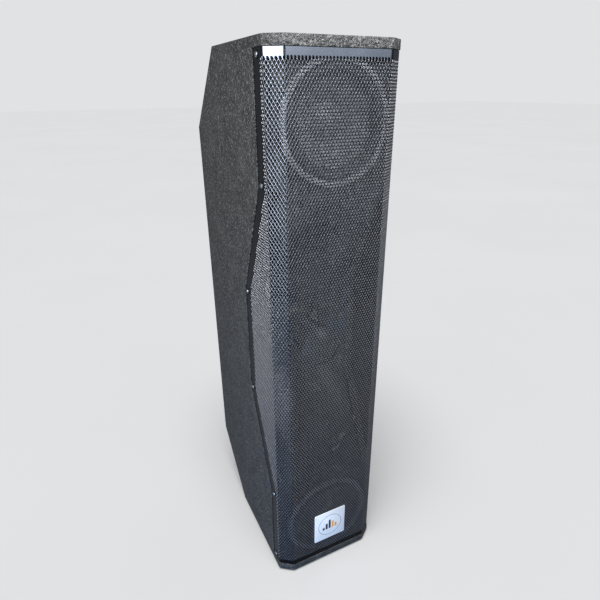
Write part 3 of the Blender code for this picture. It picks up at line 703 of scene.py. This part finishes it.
def sheet_shape(first, last, low_row, high_row):
    """The sheet between two columns and two rows, as a shape with its thickness."""
    index, flat, faces = {}, [], []

    def vertex(point):
        key = (round(point[0], 3), round(point[1], 3))
        if key not in index:
            index[key] = len(flat)
            flat.append(point)
        return index[key]

    for row in range(low_row, high_row):
        low, high = ROWS[row], ROWS[row + 1]
        shortest = min(wing_end(low), wing_end(high))
        for i in range(first, last):
            outline = cell_outline(i, row)
            if max(abs(column(i)), abs(column(i + 1))) > shortest:
                outline = clipped(outline, low, high)
            face = []
            for point in outline:
                v = vertex(point)
                if v not in face:
                    face.append(v)
            if len(face) > 2:
                faces.append(face)
    front, back = [], []
    for u, h in flat:
        x, depth, direction = sheet_point(u)
        front.append((x, depth, h))
        back.append((x - SHEET * sin(direction), depth + SHEET * cos(direction), h))
    return thickened(front, back, faces)


def read(items, name, kind=np.int64, width=1):
    """One property of all the items, as an array."""
    values = np.empty(len(items) * width, dtype=kind)
    items.foreach_get(name, values)
    return values


def unit(vectors):
    return vectors / np.maximum(np.linalg.norm(vectors, axis=-1, keepdims=True), 1e-9)


def roll_rims(mesh):
    """Shades the outer rims of the sheet's holes as rolled over, and paints their walls lighter than the
    sheet as a painted highlight.
    """
    areas = read(mesh.polygons, "area", float)
    starts, counts = read(mesh.polygons, "loop_start"), read(mesh.polygons, "loop_total")
    corners = read(mesh.loops, "vertex_index")
    owner = np.repeat(np.arange(len(counts)), counts)
    facing = read(mesh.polygons, "normal", float, 3).reshape(-1, 3)[owner]
    outside = corners < len(mesh.vertices) // 2
    share = np.add.reduceat(outside, starts) / counts
    rims = (share > 0) & (share < 1) & (areas < RIM_AREA)
    kinds = [(share == 1)[owner], (share == 0)[owner], rims[owner]]
    sums = np.zeros((3, len(mesh.vertices), 3))
    for total, chosen in zip(sums, kinds):
        np.add.at(total, corners[chosen], facing[chosen])
    front, back, wall = unit(sums)[:, corners]
    result = np.zeros((len(corners), 3))
    for chosen, wanted in zip(kinds, (front + RIM_TILT * wall, back, wall + front * outside[:, None])):
        result[chosen] = wanted[chosen]
    mesh.normals_split_custom_set(unit(result).tolist())
    # The hole walls get the lighter paint, a painted highlight.
    mesh.materials.append(MATERIALS["punched_edge"])
    mesh.polygons.foreach_set("material_index", rims.astype(np.int32))


def grille():
    """The folded sheet, split where nothing shows so that no piece has too many faces."""
    middle, rows, ends = len(ROWS) // 2, len(ROWS) - 1, len(COLUMNS) - 1
    for name, first, last, low, high in (
        ("grille_front_lower", -SPLIT_COLUMN, SPLIT_COLUMN, 0, middle),
        ("grille_front_upper", -SPLIT_COLUMN, SPLIT_COLUMN, middle, rows),
        ("grille_side_left", -ends, -SPLIT_COLUMN, 0, rows),
        ("grille_side_right", SPLIT_COLUMN, ends, 0, rows),
    ):
        made = piece(name, sheet_shape(first, last, low, high), "grille_steel", ["grille"], angle=40)
        roll_rims(made.data)


def shade_scrims():
    """A thin black cloth stretched behind each wing: a dark sheet that stands in for the shade behind the
    wings, so that daylight does not show through the cabinet.
    """
    front, thick, lap, end = 24, 0.2, 17, 330
    line = [(d, max(min(h, end), -end)) for d, h in cut_line(lap)]
    outline = [(front, end), *line, (front, -end)]
    for side, word in ((-1, "left"), (1, "right")):
        inner = side * (HALF_WIDTH - REBATE + 0.05)
        shape = prism([(inner, d, h) for d, h in outline], (side * thick, 0, 0))
        made = piece("wing_cloth_" + word, shape, "grille_steel", finish="black_cloth")


# Fasteners


def hexagon(radius, angle):
    """Distance to a hexagon's side at an angle, where radius is the distance to its corners."""
    return radius * cos(pi / 6) / cos(angle % (pi / 3) - pi / 6)


def socket_screw(radius, height, socket):
    """A round-topped screw head with a hexagon socket, standing on depth 0 towards the front."""
    profile = [(0, 0), (radius, 0), (radius, -0.45 * height), (0.93 * radius, -0.75 * height),
               (0.72 * radius, -0.97 * height), (socket * 1.12, -height), (socket, -0.9 * height),
               (socket, -0.35 * height), (0, -0.3 * height)]

    def radius_at(i, r, angle):
        return hexagon(r, angle) if i in (6, 7) else r

    return turned(profile, 24, radius_at)


def washer(inner, outer, thick):
    edge = 0.25 * thick
    profile = [(inner, 0), (outer, 0), (outer, edge - thick), (outer - edge, -thick), (inner, -thick)]
    return turned(profile, 32)


def grille_fasteners():
    """Zinc screws along the wings, each in a black cup washer that stands in for the painted shade of a
    dimple round the screw.
    """
    for side, word in ((-1, "left"), (1, "right")):
        for number in range(1, 7):
            node = f"grille_screw_{word}_{number}"
            low, high = box_mm(node)
            middle = (low + high) / 2
            proud = high.x if side > 0 else -low.x
            face = side * (HALF_WIDTH - 1.6)
            facing = turn(radians(90 * side), "Z")
            place = shift(face, middle.y, middle.z) @ facing
            screw = moved(socket_screw(3.9, proud - HALF_WIDTH + 1.5, 1.6), place)
            piece(f"screw_{word}_{number}", screw, "screw_zinc", [node])
            # A dark washer as painted shade round the screw.
            ring = moved(washer(3.6, 6.4, 0.7), place)
            piece(f"screw_washer_{word}_{number}", ring, "grille_steel")


# Badge


BAR_BASE = -11  # height of the level bars' lower ends from the badge's middle


def badge():
    """A pale plate with a thin ring and level bars printed on it, a mark of no maker."""
    low, high = box_mm("badge")
    width, tall = high.x - low.x, high.z - low.z
    height = (low.z + high.z) / 2
    plate = [rounded_ring(width - 2 * d, tall - 2 * d, 2.5 - 0.5 * d, depth, height)
             for d, depth in ((0, high.y), (0, low.y + 0.45), (0.15, low.y + 0.2), (0.45, low.y + 0.06))]
    piece("badge_plate", lofted(plate), "badge_face", ["badge"])
    front = low.y + 0.08
    ring = turned([(27.6, 0), (28.4, 0), (28.4, -0.07), (27.6, -0.07)], 96)
    piece("badge_ring", moved(ring, shift(0, front, height)), "badge_face", finish="badge_ink")

    def bar(x, top):
        middle = height + (BAR_BASE + top) / 2
        return lofted([rounded_ring(5, top - BAR_BASE, 1, d, middle, x) for d in (front, front - 0.07)])

    for name, bars, finish in (
        ("badge_bars", ((-15.5, -4), (-8, 5), (-0.5, 14)), "badge_ink"),
        ("badge_bars_orange", ((7, 8), (14.5, 0)), "badge_orange"),
    ):
        piece(name, merged(*[bar(x, top) for x, top in bars]), "badge_face", finish=finish)


# Woofers


ROLL_OUTER, ROLL_INNER = 83, 70
COIL_RADIUS = 25
ROLL_LEVEL, SPIDER_LEVEL = 13.3, 65.4  # depths of the surround's lip and of the spider
CONE_FRONT, CONE_DROP, CONE_CURVE = 16.5, 31, 0.86
BOLT_RADIUS = 100
CORNER_TURNS = [pi / 4 + k * pi / 2 for k in range(4)]
SURROUND_SECTORS, SPIDER_SECTORS = 16, 8


def cone_depth(radius):
    """Depth of the cone's front face at a radius, slightly curved."""
    share = (ROLL_INNER - radius) / (ROLL_INNER - COIL_RADIUS)
    return CONE_FRONT + CONE_DROP * max(share, 0) ** CONE_CURVE


def basket(prefix, height):
    """The painted basket: flange with four ears, wall with windows, and the spider's ledge."""
    flange = [(96, 14), (96, 18.7), (88.5, 18.7), (85.6, 18.7), (84.6, 18), (84.6, 14.6), (85.2, 14)]

    def ears(i, radius, angle):
        if i > 1:
            return radius
        away = abs((angle % (pi / 2)) - pi / 4)
        grow = max(0, 1 - away / radians(10))
        return radius + 10 * grow * grow * (3 - 2 * grow)

    outer = [(88.6, 18.4), (86.4, 26), (70.8, 60), (66.2, 72)]
    inner = [(86, 18.4), (83.7, 26), (68.2, 60), (64.6, 70)]

    def keep(ring, k):
        return ring != 1 or k % 16 < 5 or k % 16 > 15

    wall = turned_wall(outer, inner, 96, keep=keep)
    floor = turned([(66.2, 66.6), (66.2, 72), (28, 72), (28, 70), (58, 70), (58, 66.6)])
    shape = merged(turned(flange, 144, ears), wall, floor)
    piece(prefix + "_basket", moved(shape, shift(height=height)), "frame_paint", [prefix + "_frame"])


def roll_lines(level=ROLL_LEVEL):
    """Front and back lines of the surround, from its outer lip over the roll to its inner lip."""
    middle, radius, steps = (ROLL_OUTER + ROLL_INNER) / 2, (ROLL_OUTER - ROLL_INNER) / 2, 14
    front, back = [(93.5, level - 0.4), (84.2, level - 0.4)], [(93.5, level + 0.4), (83, level + 0.4)]
    for k in range(1, steps):
        angle = pi * k / steps
        front.append((middle + radius * cos(angle), level - radius * sin(angle)))
        thin = radius - 0.9
        back.append((middle + thin * cos(angle), level - thin * sin(angle)))
    front += [(69.6, level + 0.5), (66.5, level + 2)]
    back += [(70.6, level + 0.8), (66.5, level + 2.9)]
    return front, back


def spider_lines(level=SPIDER_LEVEL):
    """Front and back lines of the corrugated spider."""
    steps, inner, outer = 44, COIL_RADIUS + 0.9, 64
    front = []
    for k in range(steps + 1):
        radius = outer + (inner - outer) * k / steps
        wave = 1.1 * sin(2 * pi * 5.5 * k / steps) if 2 < k < steps - 2 else 0
        front.append((radius, level - wave))
    return front, [(r, d + 0.6) for r, d in front]


def blended_ring(name, lines, count, height, slot, node):
    """A ring in sectors, each a piece of its own that rides on no body."""
    for k in range(count):
        start, end = 2 * pi * k / count, 2 * pi * (k + 1) / count
        steps = 96 // count
        shape = moved(turned_wall(*lines, steps, (start, end)), shift(height=height))
        made = piece(f"{name}_{k + 1:02d}", shape, slot, [node], angle=60, ride=False)
        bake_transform(made)


def cone_lines():
    """Front and back of the cone, with four stiffening ribs pressed into it."""
    steps, outer, inner = 40, ROLL_INNER - 0.4, COIL_RADIUS + 1.1
    front = []
    for k in range(steps + 1):
        radius = outer + (inner - outer) * k / steps
        rib = 0.45 * max(0, cos(pi * (radius - 66 + 7.5 * round((66 - radius) / 7.5)) / 3))
        shown = 38 < radius < 68
        front.append((radius, cone_depth(radius) - (rib if shown else 0)))
    return front, [(r, d + 1.3) for r, d in front]


def dust_cap_lines():
    rim, rise, steps = 30, 9, 14
    base = cone_depth(rim) - 0.6
    sphere = (rim * rim + rise * rise) / (2 * rise)
    front = []
    for k in range(steps + 1):
        radius = rim * (1 - k / steps)
        front.append((radius, base - rise + sphere - sqrt(sphere * sphere - radius * radius)))
    front = [(rim + 2.2, base + 0.2), *front]
    return front, [(r * 0.985, d + 0.8) for r, d in front]


def woofer(prefix, body):
    """One woofer: what is fixed rides on the cabinet, and the cone, cap and coil on their own body."""
    low, high = box_mm(prefix + "_cone")
    height = (low.z + high.z) / 2

    def add(part, shape, slot, node, *rest):
        piece(f"{prefix}_{part}", moved(shape, shift(height=height)), slot, [f"{prefix}_{node}"], *rest)

    basket(prefix, height)
    gasket = turned([(85, 12.6), (85, 10.4), (85.6, 9.7), (86.6, 9.5), (93.6, 9.5), (94.6, 9.8), (95, 10.5),
                     (95, 12.6)], 128)
    add("rim_gasket", gasket, "gasket_rubber", "gasket")
    blended_ring(prefix + "_roll", roll_lines(), SURROUND_SECTORS, height,
                 "surround_cloth", prefix + "_surround")
    blended_ring(prefix + "_centring", spider_lines(), SPIDER_SECTORS, height,
                 "spider_cloth", prefix + "_spider")
    add("paper_cone", turned_wall(*cone_lines(), 128), "cone_paper", "cone", body, 60)
    add("cap", turned_wall(*dust_cap_lines(), 96), "dust_cap_paper", "dust_cap", body, 60)
    top = cone_depth(COIL_RADIUS) + 0.2
    coil = [(25, top), (25.4, top), (25.4, 73.6)]
    for k in range(14):
        coil += [(25.5, 74 + k * 0.84), (26.1, 74.42 + k * 0.84)]
    coil += [(25.5, 86), (25, 86)]
    add("coil", turned(coil), "copper_wire", "voice_coil", body)
    magnet = [(27.2, 72.3), (49, 72.3), (50, 73), (50, 80), (59, 80), (60, 81), (60, 97), (59, 98),
              (27.2, 98)]
    add("ferrite", turned(magnet), "ferrite", "magnet")
    pole = [(0, 73), (23.6, 73), (24.2, 73.6), (24.2, 98.3), (53.2, 98.3), (54, 99), (54, 106), (53, 107),
            (9, 107), (8, 106), (8, 98), (0, 98)]
    add("pole", turned(pole), "plated_steel", "back_plate")
    bolts = []
    for angle in CORNER_TURNS:
        spot = shift(BOLT_RADIUS * cos(angle), 14, height + BOLT_RADIUS * sin(angle))
        bolts.append(moved(washer(2.9, 5.8, 1), spot))
        bolts.append(moved(socket_screw(4.6, 4.4, 2.2), spot @ shift(depth=-1)))
    piece(prefix + "_bolts", merged(*bolts), "frame_paint")


# Centre horn and its driver


HORN_HALF, HORN_FRONT, HORN_WALL = 308, 17, 4
THROAT_RADIUS, THROAT_DEPTH = 50, 150
ARCH_TOP, ARCH_RADIUS, MOUTH_CORNER = 278, 95, 73
HORN_SIDE = INNER_HALF - 0.3


def arch(x):
    """Height of the mouth's arched edge above the middle."""
    return ARCH_TOP - ARCH_RADIUS + sqrt(ARCH_RADIUS * ARCH_RADIUS - x * x)


SIDE_TURN = atan2(CUT_INNER, HORN_SIDE)
MOUTH_TURN = atan2(arch(MOUTH_CORNER), MOUTH_CORNER)


def horn_angles():
    """Directions of the horn's creases and the smooth steps between them, all the way round."""
    stops = [(0, SIDE_TURN, 8), (SIDE_TURN, MOUTH_TURN, 6), (MOUTH_TURN, pi / 2, 8)]
    quarter = [a + (b - a) * k / n for a, b, n in stops for k in range(n)]
    upper = quarter + [pi / 2] + [pi - a for a in reversed(quarter)]
    return upper + [-a for a in reversed(upper[1:-1])]


def rim_point(angle):
    """Where a ray from the middle meets the moulding's outside, as (x, height)."""
    reach = min(HORN_SIDE / max(abs(cos(angle)), 1e-9), HORN_HALF / max(abs(sin(angle)), 1e-9))
    return reach * cos(angle), reach * sin(angle)


def mouth_point(angle):
    """Where the ray leaves the horn's mouth, as (x, depth, height)."""
    steep = atan2(abs(sin(angle)), abs(cos(angle)))
    across, up = (1 if cos(angle) >= 0 else -1), (1 if sin(angle) >= 0 else -1)
    side_depth = CUT_DEEP - LEDGE + 5
    if steep <= SIDE_TURN + 1e-6:
        x, height = rim_point(angle)
        return x * 0.97, side_depth, height * 0.97
    if steep < MOUTH_TURN:
        share = (steep - SIDE_TURN) / (MOUTH_TURN - SIDE_TURN)
        start = Vector((HORN_SIDE * 0.97, side_depth, CUT_INNER))
        spot = start.lerp(Vector((MOUTH_CORNER, HORN_FRONT, arch(MOUTH_CORNER))), share)
        return across * spot.x, spot.y, up * spot.z
    x = 0
    for _ in range(16):
        x = arch(x) * cos(steep) / sin(steep)
    return across * x, HORN_FRONT, up * arch(x)


def ledge_depth(height):
    """Depth of the horn's side edge, just behind the rebate of the side board."""
    return cut_depth(height) - LEDGE + 3


def horn():
    """The horn moulding: rings of points from the throat to the mouth, then out to the rim."""
    angles = horn_angles()
    shares = [k / 12 for k in range(13)]
    rings = [[] for _ in range(len(shares) + 2)]
    for angle in angles:
        throat = Vector((THROAT_RADIUS * cos(angle), THROAT_DEPTH, THROAT_RADIUS * sin(angle)))
        mouth = Vector(mouth_point(angle))
        x, height = rim_point(angle)
        edge = ledge_depth(height) if abs(x) > HORN_SIDE - 1 else HORN_FRONT
        edge = HORN_FRONT if abs(height) > HORN_HALF - 1 else edge
        rings[0].append((throat.x, THROAT_DEPTH + 8, throat.z))
        for k, share in enumerate(shares):
            spot = throat.lerp(mouth, share)
            rings[k + 1].append((spot.x, throat.y + (mouth.y - throat.y) * share ** 1.15, spot.z))
        rings[-1].append((x, edge, height))
    grow = 1 + HORN_WALL / THROAT_RADIUS
    back = []
    for k, ring in enumerate(rings):
        scale, sunk = (grow if k < 2 else 1), (0 if k == 0 else HORN_WALL)
        back.append([(x * scale, d + sunk, h * scale) for x, d, h in ring])
    shape = lofted(rings + back[::-1], closed=True)
    piece("horn_moulding", shape, "gloss_plastic", ["horn"], angle=18)
    spots = [shift(x, HORN_FRONT, up * height)
             for x, height in ((-88, 296), (88, 296), (-30, 293), (30, 293)) for up in (1, -1)]
    piece("horn_screws", moved(socket_screw(3.6, 2.6, 1.6), *spots), "frame_paint")


def phase_plug():
    """The bullet in the horn's throat, held by four fins."""
    shares = [k / 12 for k in range(12)]
    profile = [(40 * share, 31 + 16 * share ** 2.1) for share in shares]
    profile += [(40, 47), (40.8, 48.2), (41, 50), (40.6, 52.5), (39.6, 56), (37, 76), (33, 104), (29, 132),
                (27, 157), (0, 157)]
    outline = [(20, 138, -2), (49.2, 146, -1.4), (49.2, 157.6, -1.4), (20, 156.5, -2)]
    across = [(r, d, -t) for r, d, t in outline]
    fins = moved(lofted([outline, across]), *[turn(angle) for angle in CORNER_TURNS])
    piece("horn_plug", merged(turned(profile), fins), "gloss_plastic", ["phase_plug"], angle=50)


def centre_driver():
    """Throat plate, diaphragm, magnet and rear cover."""
    plate = [(50, 158.4), (77, 158.4), (78, 159.4), (78, 182), (47, 182), (47, 172), (50, 168)]
    piece("mid_plate", turned(plate), "plated_steel", ["mid_throat_plate"])
    turns = [radians(90 * k / 12) for k in range(12, -1, -1)]
    lines = [(44, 177.5), (41, 176.6), (38.6, 177.3)]
    lines += [(37 * sin(a), 163 + 13.5 * (1 - cos(a))) for a in turns]
    dome = turned_wall(lines, [(r, d + 0.7) for r, d in lines])
    coil = turned([(36.5, 177.4), (37.3, 177.4), (37.3, 192), (36.5, 192)])
    piece("mid_dome_cap", merged(dome, coil), "diaphragm_film", ["mid_diaphragm"], "mid_dome", 60)
    magnet = [(0, 174), (24, 180), (35, 186), (35, 197), (38.8, 197), (38.8, 182.3), (69, 182.3), (70, 183.3),
              (70, 211), (69, 212), (0, 212)]
    piece("mid_ferrite", turned(magnet), "ferrite", ["mid_magnet"])
    cover = [(0, 212.3), (58, 212.3), (58, 226), (57, 228.6), (54, 230.6), (50, 231.4), (0, 233)]
    piece("mid_cover", turned(cover), "moulded_plastic", ["mid_rear_cover"])


# Back


def tray_shape(inside, flange, height, floor):
    """A moulded tray with rounded inner corners, open to the back, and a soft-edged flange."""
    face = box_mm("connector_dish")[1].y
    under = REAR_FACE + 0.1
    w, h = inside
    fw, fh = flange
    rows = [(w + 6, h + 6, 7, floor - MOULDING), (w + 6, h + 6, 7, under), (fw, fh, 8, under),
            (fw, fh, 8, face - 0.9), (fw - 0.6, fh - 0.6, 7.8, face - 0.3), (fw - 1.6, fh - 1.6, 7.4, face),
            (w + 3, h + 3, 7, face), (w + 1.2, h + 1.2, 6.6, face - 0.4), (w, h, 6.2, face - 1.6),
            (w - 1.6, h - 1.6, 6, floor + 2), (w - 3, h - 3, 5.4, floor + 0.6),
            (w - 6, h - 6, 5, floor)]
    return [rounded_ring(a, b, r, d, height) for a, b, r, d in rows]


def flange_screws(name, flange, height):
    """Four countersunk-looking screws in the corners of a tray's flange."""
    face = box_mm("connector_dish")[1].y
    spots = [shift(x * (flange[0] / 2 - 7), face - 0.1, height + up * (flange[1] / 2 - 6.5)) @ turn(pi, "Z")
             for x in (-1, 1) for up in (-1, 1)]
    piece(name, moved(socket_screw(3.2, 1.3, 1.4), *spots), "screw_zinc")


SOCKET_SPACING, SOCKET_RADIUS, SOCKET_BORE = 44, 13.5, 10


def connector_dish():
    """The dish with two bosses where the sockets sit."""
    rings = tray_shape(DISH_INSIDE, DISH_FLANGE, DISH_HEIGHT, DISH_FLOOR)
    inner, low, high = SOCKET_RADIUS + 0.2, DISH_FLOOR - 0.2, DISH_FLOOR + 0.5
    boss = turned([(inner, low), (19.4, low), (19, high), (inner, high)], 64)
    bosses = moved(boss, *[shift(side * SOCKET_SPACING / 2, 0, DISH_HEIGHT) for side in (-1, 1)])
    piece("rear_dish", merged(lofted(rings), bosses), "moulded_plastic", ["connector_dish"])
    flange_screws("rear_dish_screws", DISH_FLANGE, DISH_HEIGHT)


def socket(word, x):
    """A twist-lock speaker socket: collar with two keyways, bore, hub and contacts."""
    floor = DISH_FLOOR + 0.5
    profile = [(0, 336), (SOCKET_BORE, 336), (SOCKET_BORE, floor + 4.2), (SOCKET_BORE + 0.8, floor + 5),
               (13, floor + 5), (14.6, floor + 4.4), (17.2, floor + 2.6), (17.6, floor + 1.6),
               (17.6, floor), (SOCKET_RADIUS, floor), (SOCKET_RADIUS, 325), (0, 325)]

    def keyed(i, radius, angle):
        near = min(abs(angle - pi / 2), abs(angle - 3 * pi / 2))
        return radius + 1.8 if i in (1, 2, 3) and near < radians(13) else radius

    body = turned(profile, 96, keyed)
    hub = turned([(0, 335), (4.6, 335), (4.6, floor + 2.2), (4, floor + 3), (2.4, floor + 3), (2.2, 345),
                  (0, 345)], 48)
    at = shift(x, 0, DISH_HEIGHT)
    piece(f"socket_{word}_body", moved(merged(body, hub), at), "socket_plastic", [f"socket_{word}"])
    contact = lofted([rounded_ring(2.6, 0.8, 0.3, d, 7.6) for d in (336, floor - 3)])
    contacts = moved(contact, *[at @ turn(angle) for angle in CORNER_TURNS])
    piece(f"socket_{word}_contacts", contacts, "plated_steel")
    latch = [rounded_ring(6, 2.2, 0.8, d, 15.4) for d in (floor + 2.4, floor + 5.4)]
    piece(f"socket_{word}_latch", moved(lofted(latch), at), "screw_zinc")


def handle():
    """The recessed cup and the ribbed bar across it."""
    rings = tray_shape(CUP_INSIDE, CUP_FLANGE, CUP_HEIGHT, CUP_FLOOR)
    piece("rear_cup", lofted(rings), "moulded_plastic", ["handle_cup"])
    flange_screws("rear_cup_screws", CUP_FLANGE, CUP_HEIGHT)
    low, high = box_mm("handle_grip")
    middle, reach = (low + high) / 2, (high.x - low.x) / 2
    radius = (high.z - low.z) / 2
    profile = [(0, -reach), (radius, -reach)]
    ribs = 15
    pitch = (2 * reach - 16) / ribs
    for k in range(ribs):
        base = 8 - reach + pitch * k
        profile += [(radius, base), (radius, base + 0.55 * pitch), (radius - 0.9, base + 0.68 * pitch),
                    (radius - 0.9, base + 0.88 * pitch)]
    profile += [(radius, reach - 8), (radius, reach), (0, reach)]
    bar_shape = moved(turned(profile, 48), shift(0, middle.y, middle.z) @ turn(radians(-90), "Z"))
    piece("rear_grip", bar_shape, "grip_rubber", ["handle_grip"])


def feet():
    """Rubber feet, each with its screw sunk in the middle."""
    for word in ("front_left", "front_right", "rear_left", "rear_right"):
        low, high = box_mm("foot_" + word)
        middle = (low + high) / 2
        tall = high.z - low.z
        upright = shift(middle.x, middle.y, low.z) @ turn(radians(90), "X")
        profile = [(0, 1.6), (4.6, 1.6), (4.6, 0.5), (5.2, 0), (10.6, 0), (11.8, 0.4), (12.4, 1.2),
                   (13, tall), (0, tall)]
        piece("rubber_foot_" + word, moved(turned(profile, 64), upright), "foot_rubber", ["foot_" + word])
        screw = socket_screw(3.6, 1.2, 1.5)
        piece("rubber_foot_screw_" + word, moved(screw, upright @ shift(depth=1.7)), "screw_zinc")


def crossover():
    """The board with its capacitors and resistors, and the air-cored inductor."""
    low, high = box_mm("crossover_board")
    board = [rounded_ring(high.x - low.x, high.z - low.z, 1.5, d, (high.z + low.z) / 2)
             for d in (high.y, high.y - 1.6)]
    piece("crossover_plate", lofted(board), "circuit_board", ["crossover_board"])
    face = high.y - 1.6
    cans = [(0, 0), (9, 0), (9, -26), (8.6, -27.6), (8, -27.6), (8, -29), (7.4, -29.6), (0, -29.6)]
    shape = moved(turned(cans, 48), *[shift(x, face, high.z - 25) for x in (8, 34)])
    piece("crossover_capacitors", shape, "circuit_board", finish="capacitor_film")
    wound = [(12, -21)]
    for k in range(9):
        wound += [(26.2, -20.4 + 2.2 * k), (27, -19.3 + 2.2 * k)]
    wound += [(26, -0.4), (12, -0.4)]
    middle = (box_mm("crossover_inductor")[0] + box_mm("crossover_inductor")[1]) / 2
    coil = moved(turned(wound, 64), shift(middle.x, face, middle.z))
    piece("crossover_coil", coil, "copper_wire", ["crossover_inductor"])


# Camera, lights and floor


CAMERA_PLACE, CAMERA_LENS = (-0.3818, -0.8269, 0.9767), 28.15
CAMERA_TURNS = (26.06, 24.19, -0.466)  # yaw, pitch and roll in degrees
AMBIENT, BACKDROP = (0.19, 0.2, 0.22), (0.755, 0.76, 0.775)


def add_camera():
    """A camera level with the cabinet's top, a little to its left, looking down its length."""
    yaw, pitch, roll = (radians(angle) for angle in CAMERA_TURNS)
    forward = Vector((sin(yaw) * cos(pitch), cos(yaw) * cos(pitch), -sin(pitch)))
    across = Vector((cos(yaw), -sin(yaw), 0))
    above = across.cross(forward)
    right = cos(roll) * across + sin(roll) * above
    up = cos(roll) * above - sin(roll) * across
    data = bpy.data.cameras.new("camera")
    data.lens, data.sensor_width = CAMERA_LENS, 36
    data.clip_start, data.clip_end = 0.01, 100
    camera = shown("camera", data)
    basis = Matrix((right, up, -forward)).transposed().to_4x4()
    camera.matrix_world = Matrix.Translation(CAMERA_PLACE) @ basis
    bpy.context.scene.camera = camera


def keep_light_on(light, receivers):
    """Lets a light reach only these objects."""
    group = bpy.data.collections.new(light.name + "_receivers")
    for obj in receivers:
        group.objects.link(obj)
    light.light_linking.receiver_collection = group


def cabinet_pieces(word=""):
    meshes = [o for o in bpy.context.scene.objects if o.type == "MESH"]
    return [o for o in meshes if word in o.name and o.name != "floor"]


def area_light(name, place, target, size, power, spread=180, colour=(1, 1, 1), word=""):
    data = bpy.data.lights.new(name, "AREA")
    data.shape = "RECTANGLE"
    data.size, data.size_y = size
    data.energy, data.spread, data.color = power, radians(spread), colour
    light = shown(name, data)
    light.location = place
    light.rotation_euler = (Vector(target) - Vector(place)).to_track_quat("-Z", "Y").to_euler()
    light.visible_camera = False
    keep_light_on(light, cabinet_pieces(word))


def floor_light(floor):
    data = bpy.data.lights.new("daylight", "SUN")
    data.energy = 2.5
    data.angle = radians(35)
    light = shown("daylight", data)
    light.rotation_euler = (radians(14), radians(-10), 0)
    keep_light_on(light, [floor])


def add_floor():
    reach = 30
    corners = [(-reach, -reach, 0), (reach, -reach, 0), (reach, reach, 0), (-reach, reach, 0)]
    mesh = mesh_of("floor", corners, [(0, 1, 2, 3)])
    surface("floor_paint", (0.79, 0.79, 0.79), (0.81, 0.81, 0.81), (0.8, 0.9), ("noise", 6, 1),
            mottle=0.6, depth=0.0005)
    mesh.materials.append(MATERIALS["floor_paint"])
    floor = shown("floor", mesh)
    floor.visible_glossy = floor.visible_diffuse = False
    floor_light(floor)


def add_studio():
    """A pale floor and surround, daylight from above and soft lights on the cabinet."""
    add_floor()
    world = bpy.data.worlds.new("world")
    world.use_nodes = True
    tree = world.node_tree
    background = tree.nodes["Background"]
    seen = add_node(tree, "ShaderNodeLightPath").outputs["Is Camera Ray"]
    colour = blended(tree, seen, AMBIENT, BACKDROP)
    tree.links.new(colour, background.inputs["Color"])
    bpy.context.scene.world = world
    bpy.context.scene.view_settings.view_transform = "Standard"
    area_light("overhead", (0, -0.62, 1.6), (0, -0.25, 0.95), (0.7, 0.5), 9)
    area_light("window", (-1.21, -1.16, 0.78), (-0.1, -0.18, 0.95), (0.8, 0.9), 13, 50, word="grille")
    area_light("left", (-1.5, -0.9, 1.3), (-0.1, 0, 0.9), (0.5, 0.8), 15, 100)
    area_light("front", (0.35, -1.05, 1.35), (0, -0.19, 1), (0.9, 0.7), 5, 60, (0.94, 0.97, 1))
    area_light("low", (-0.75, -0.8, 0.12), (-0.08, -0.1, 0.1), (0.7, 0.2), 4.5, 120, (0.25, 0.5, 1))


def build():
    make_materials()
    keep_nodes()
    cabinet_boards()
    grille()
    shade_scrims()
    grille_fasteners()
    badge()
    woofer("upper_woofer", "upper_cone")
    woofer("lower_woofer", "lower_cone")
    horn()
    phase_plug()
    centre_driver()
    connector_dish()
    socket("left", -SOCKET_SPACING / 2)
    socket("right", SOCKET_SPACING / 2)
    handle()
    feet()
    crossover()
    add_camera()
    add_studio()


build()
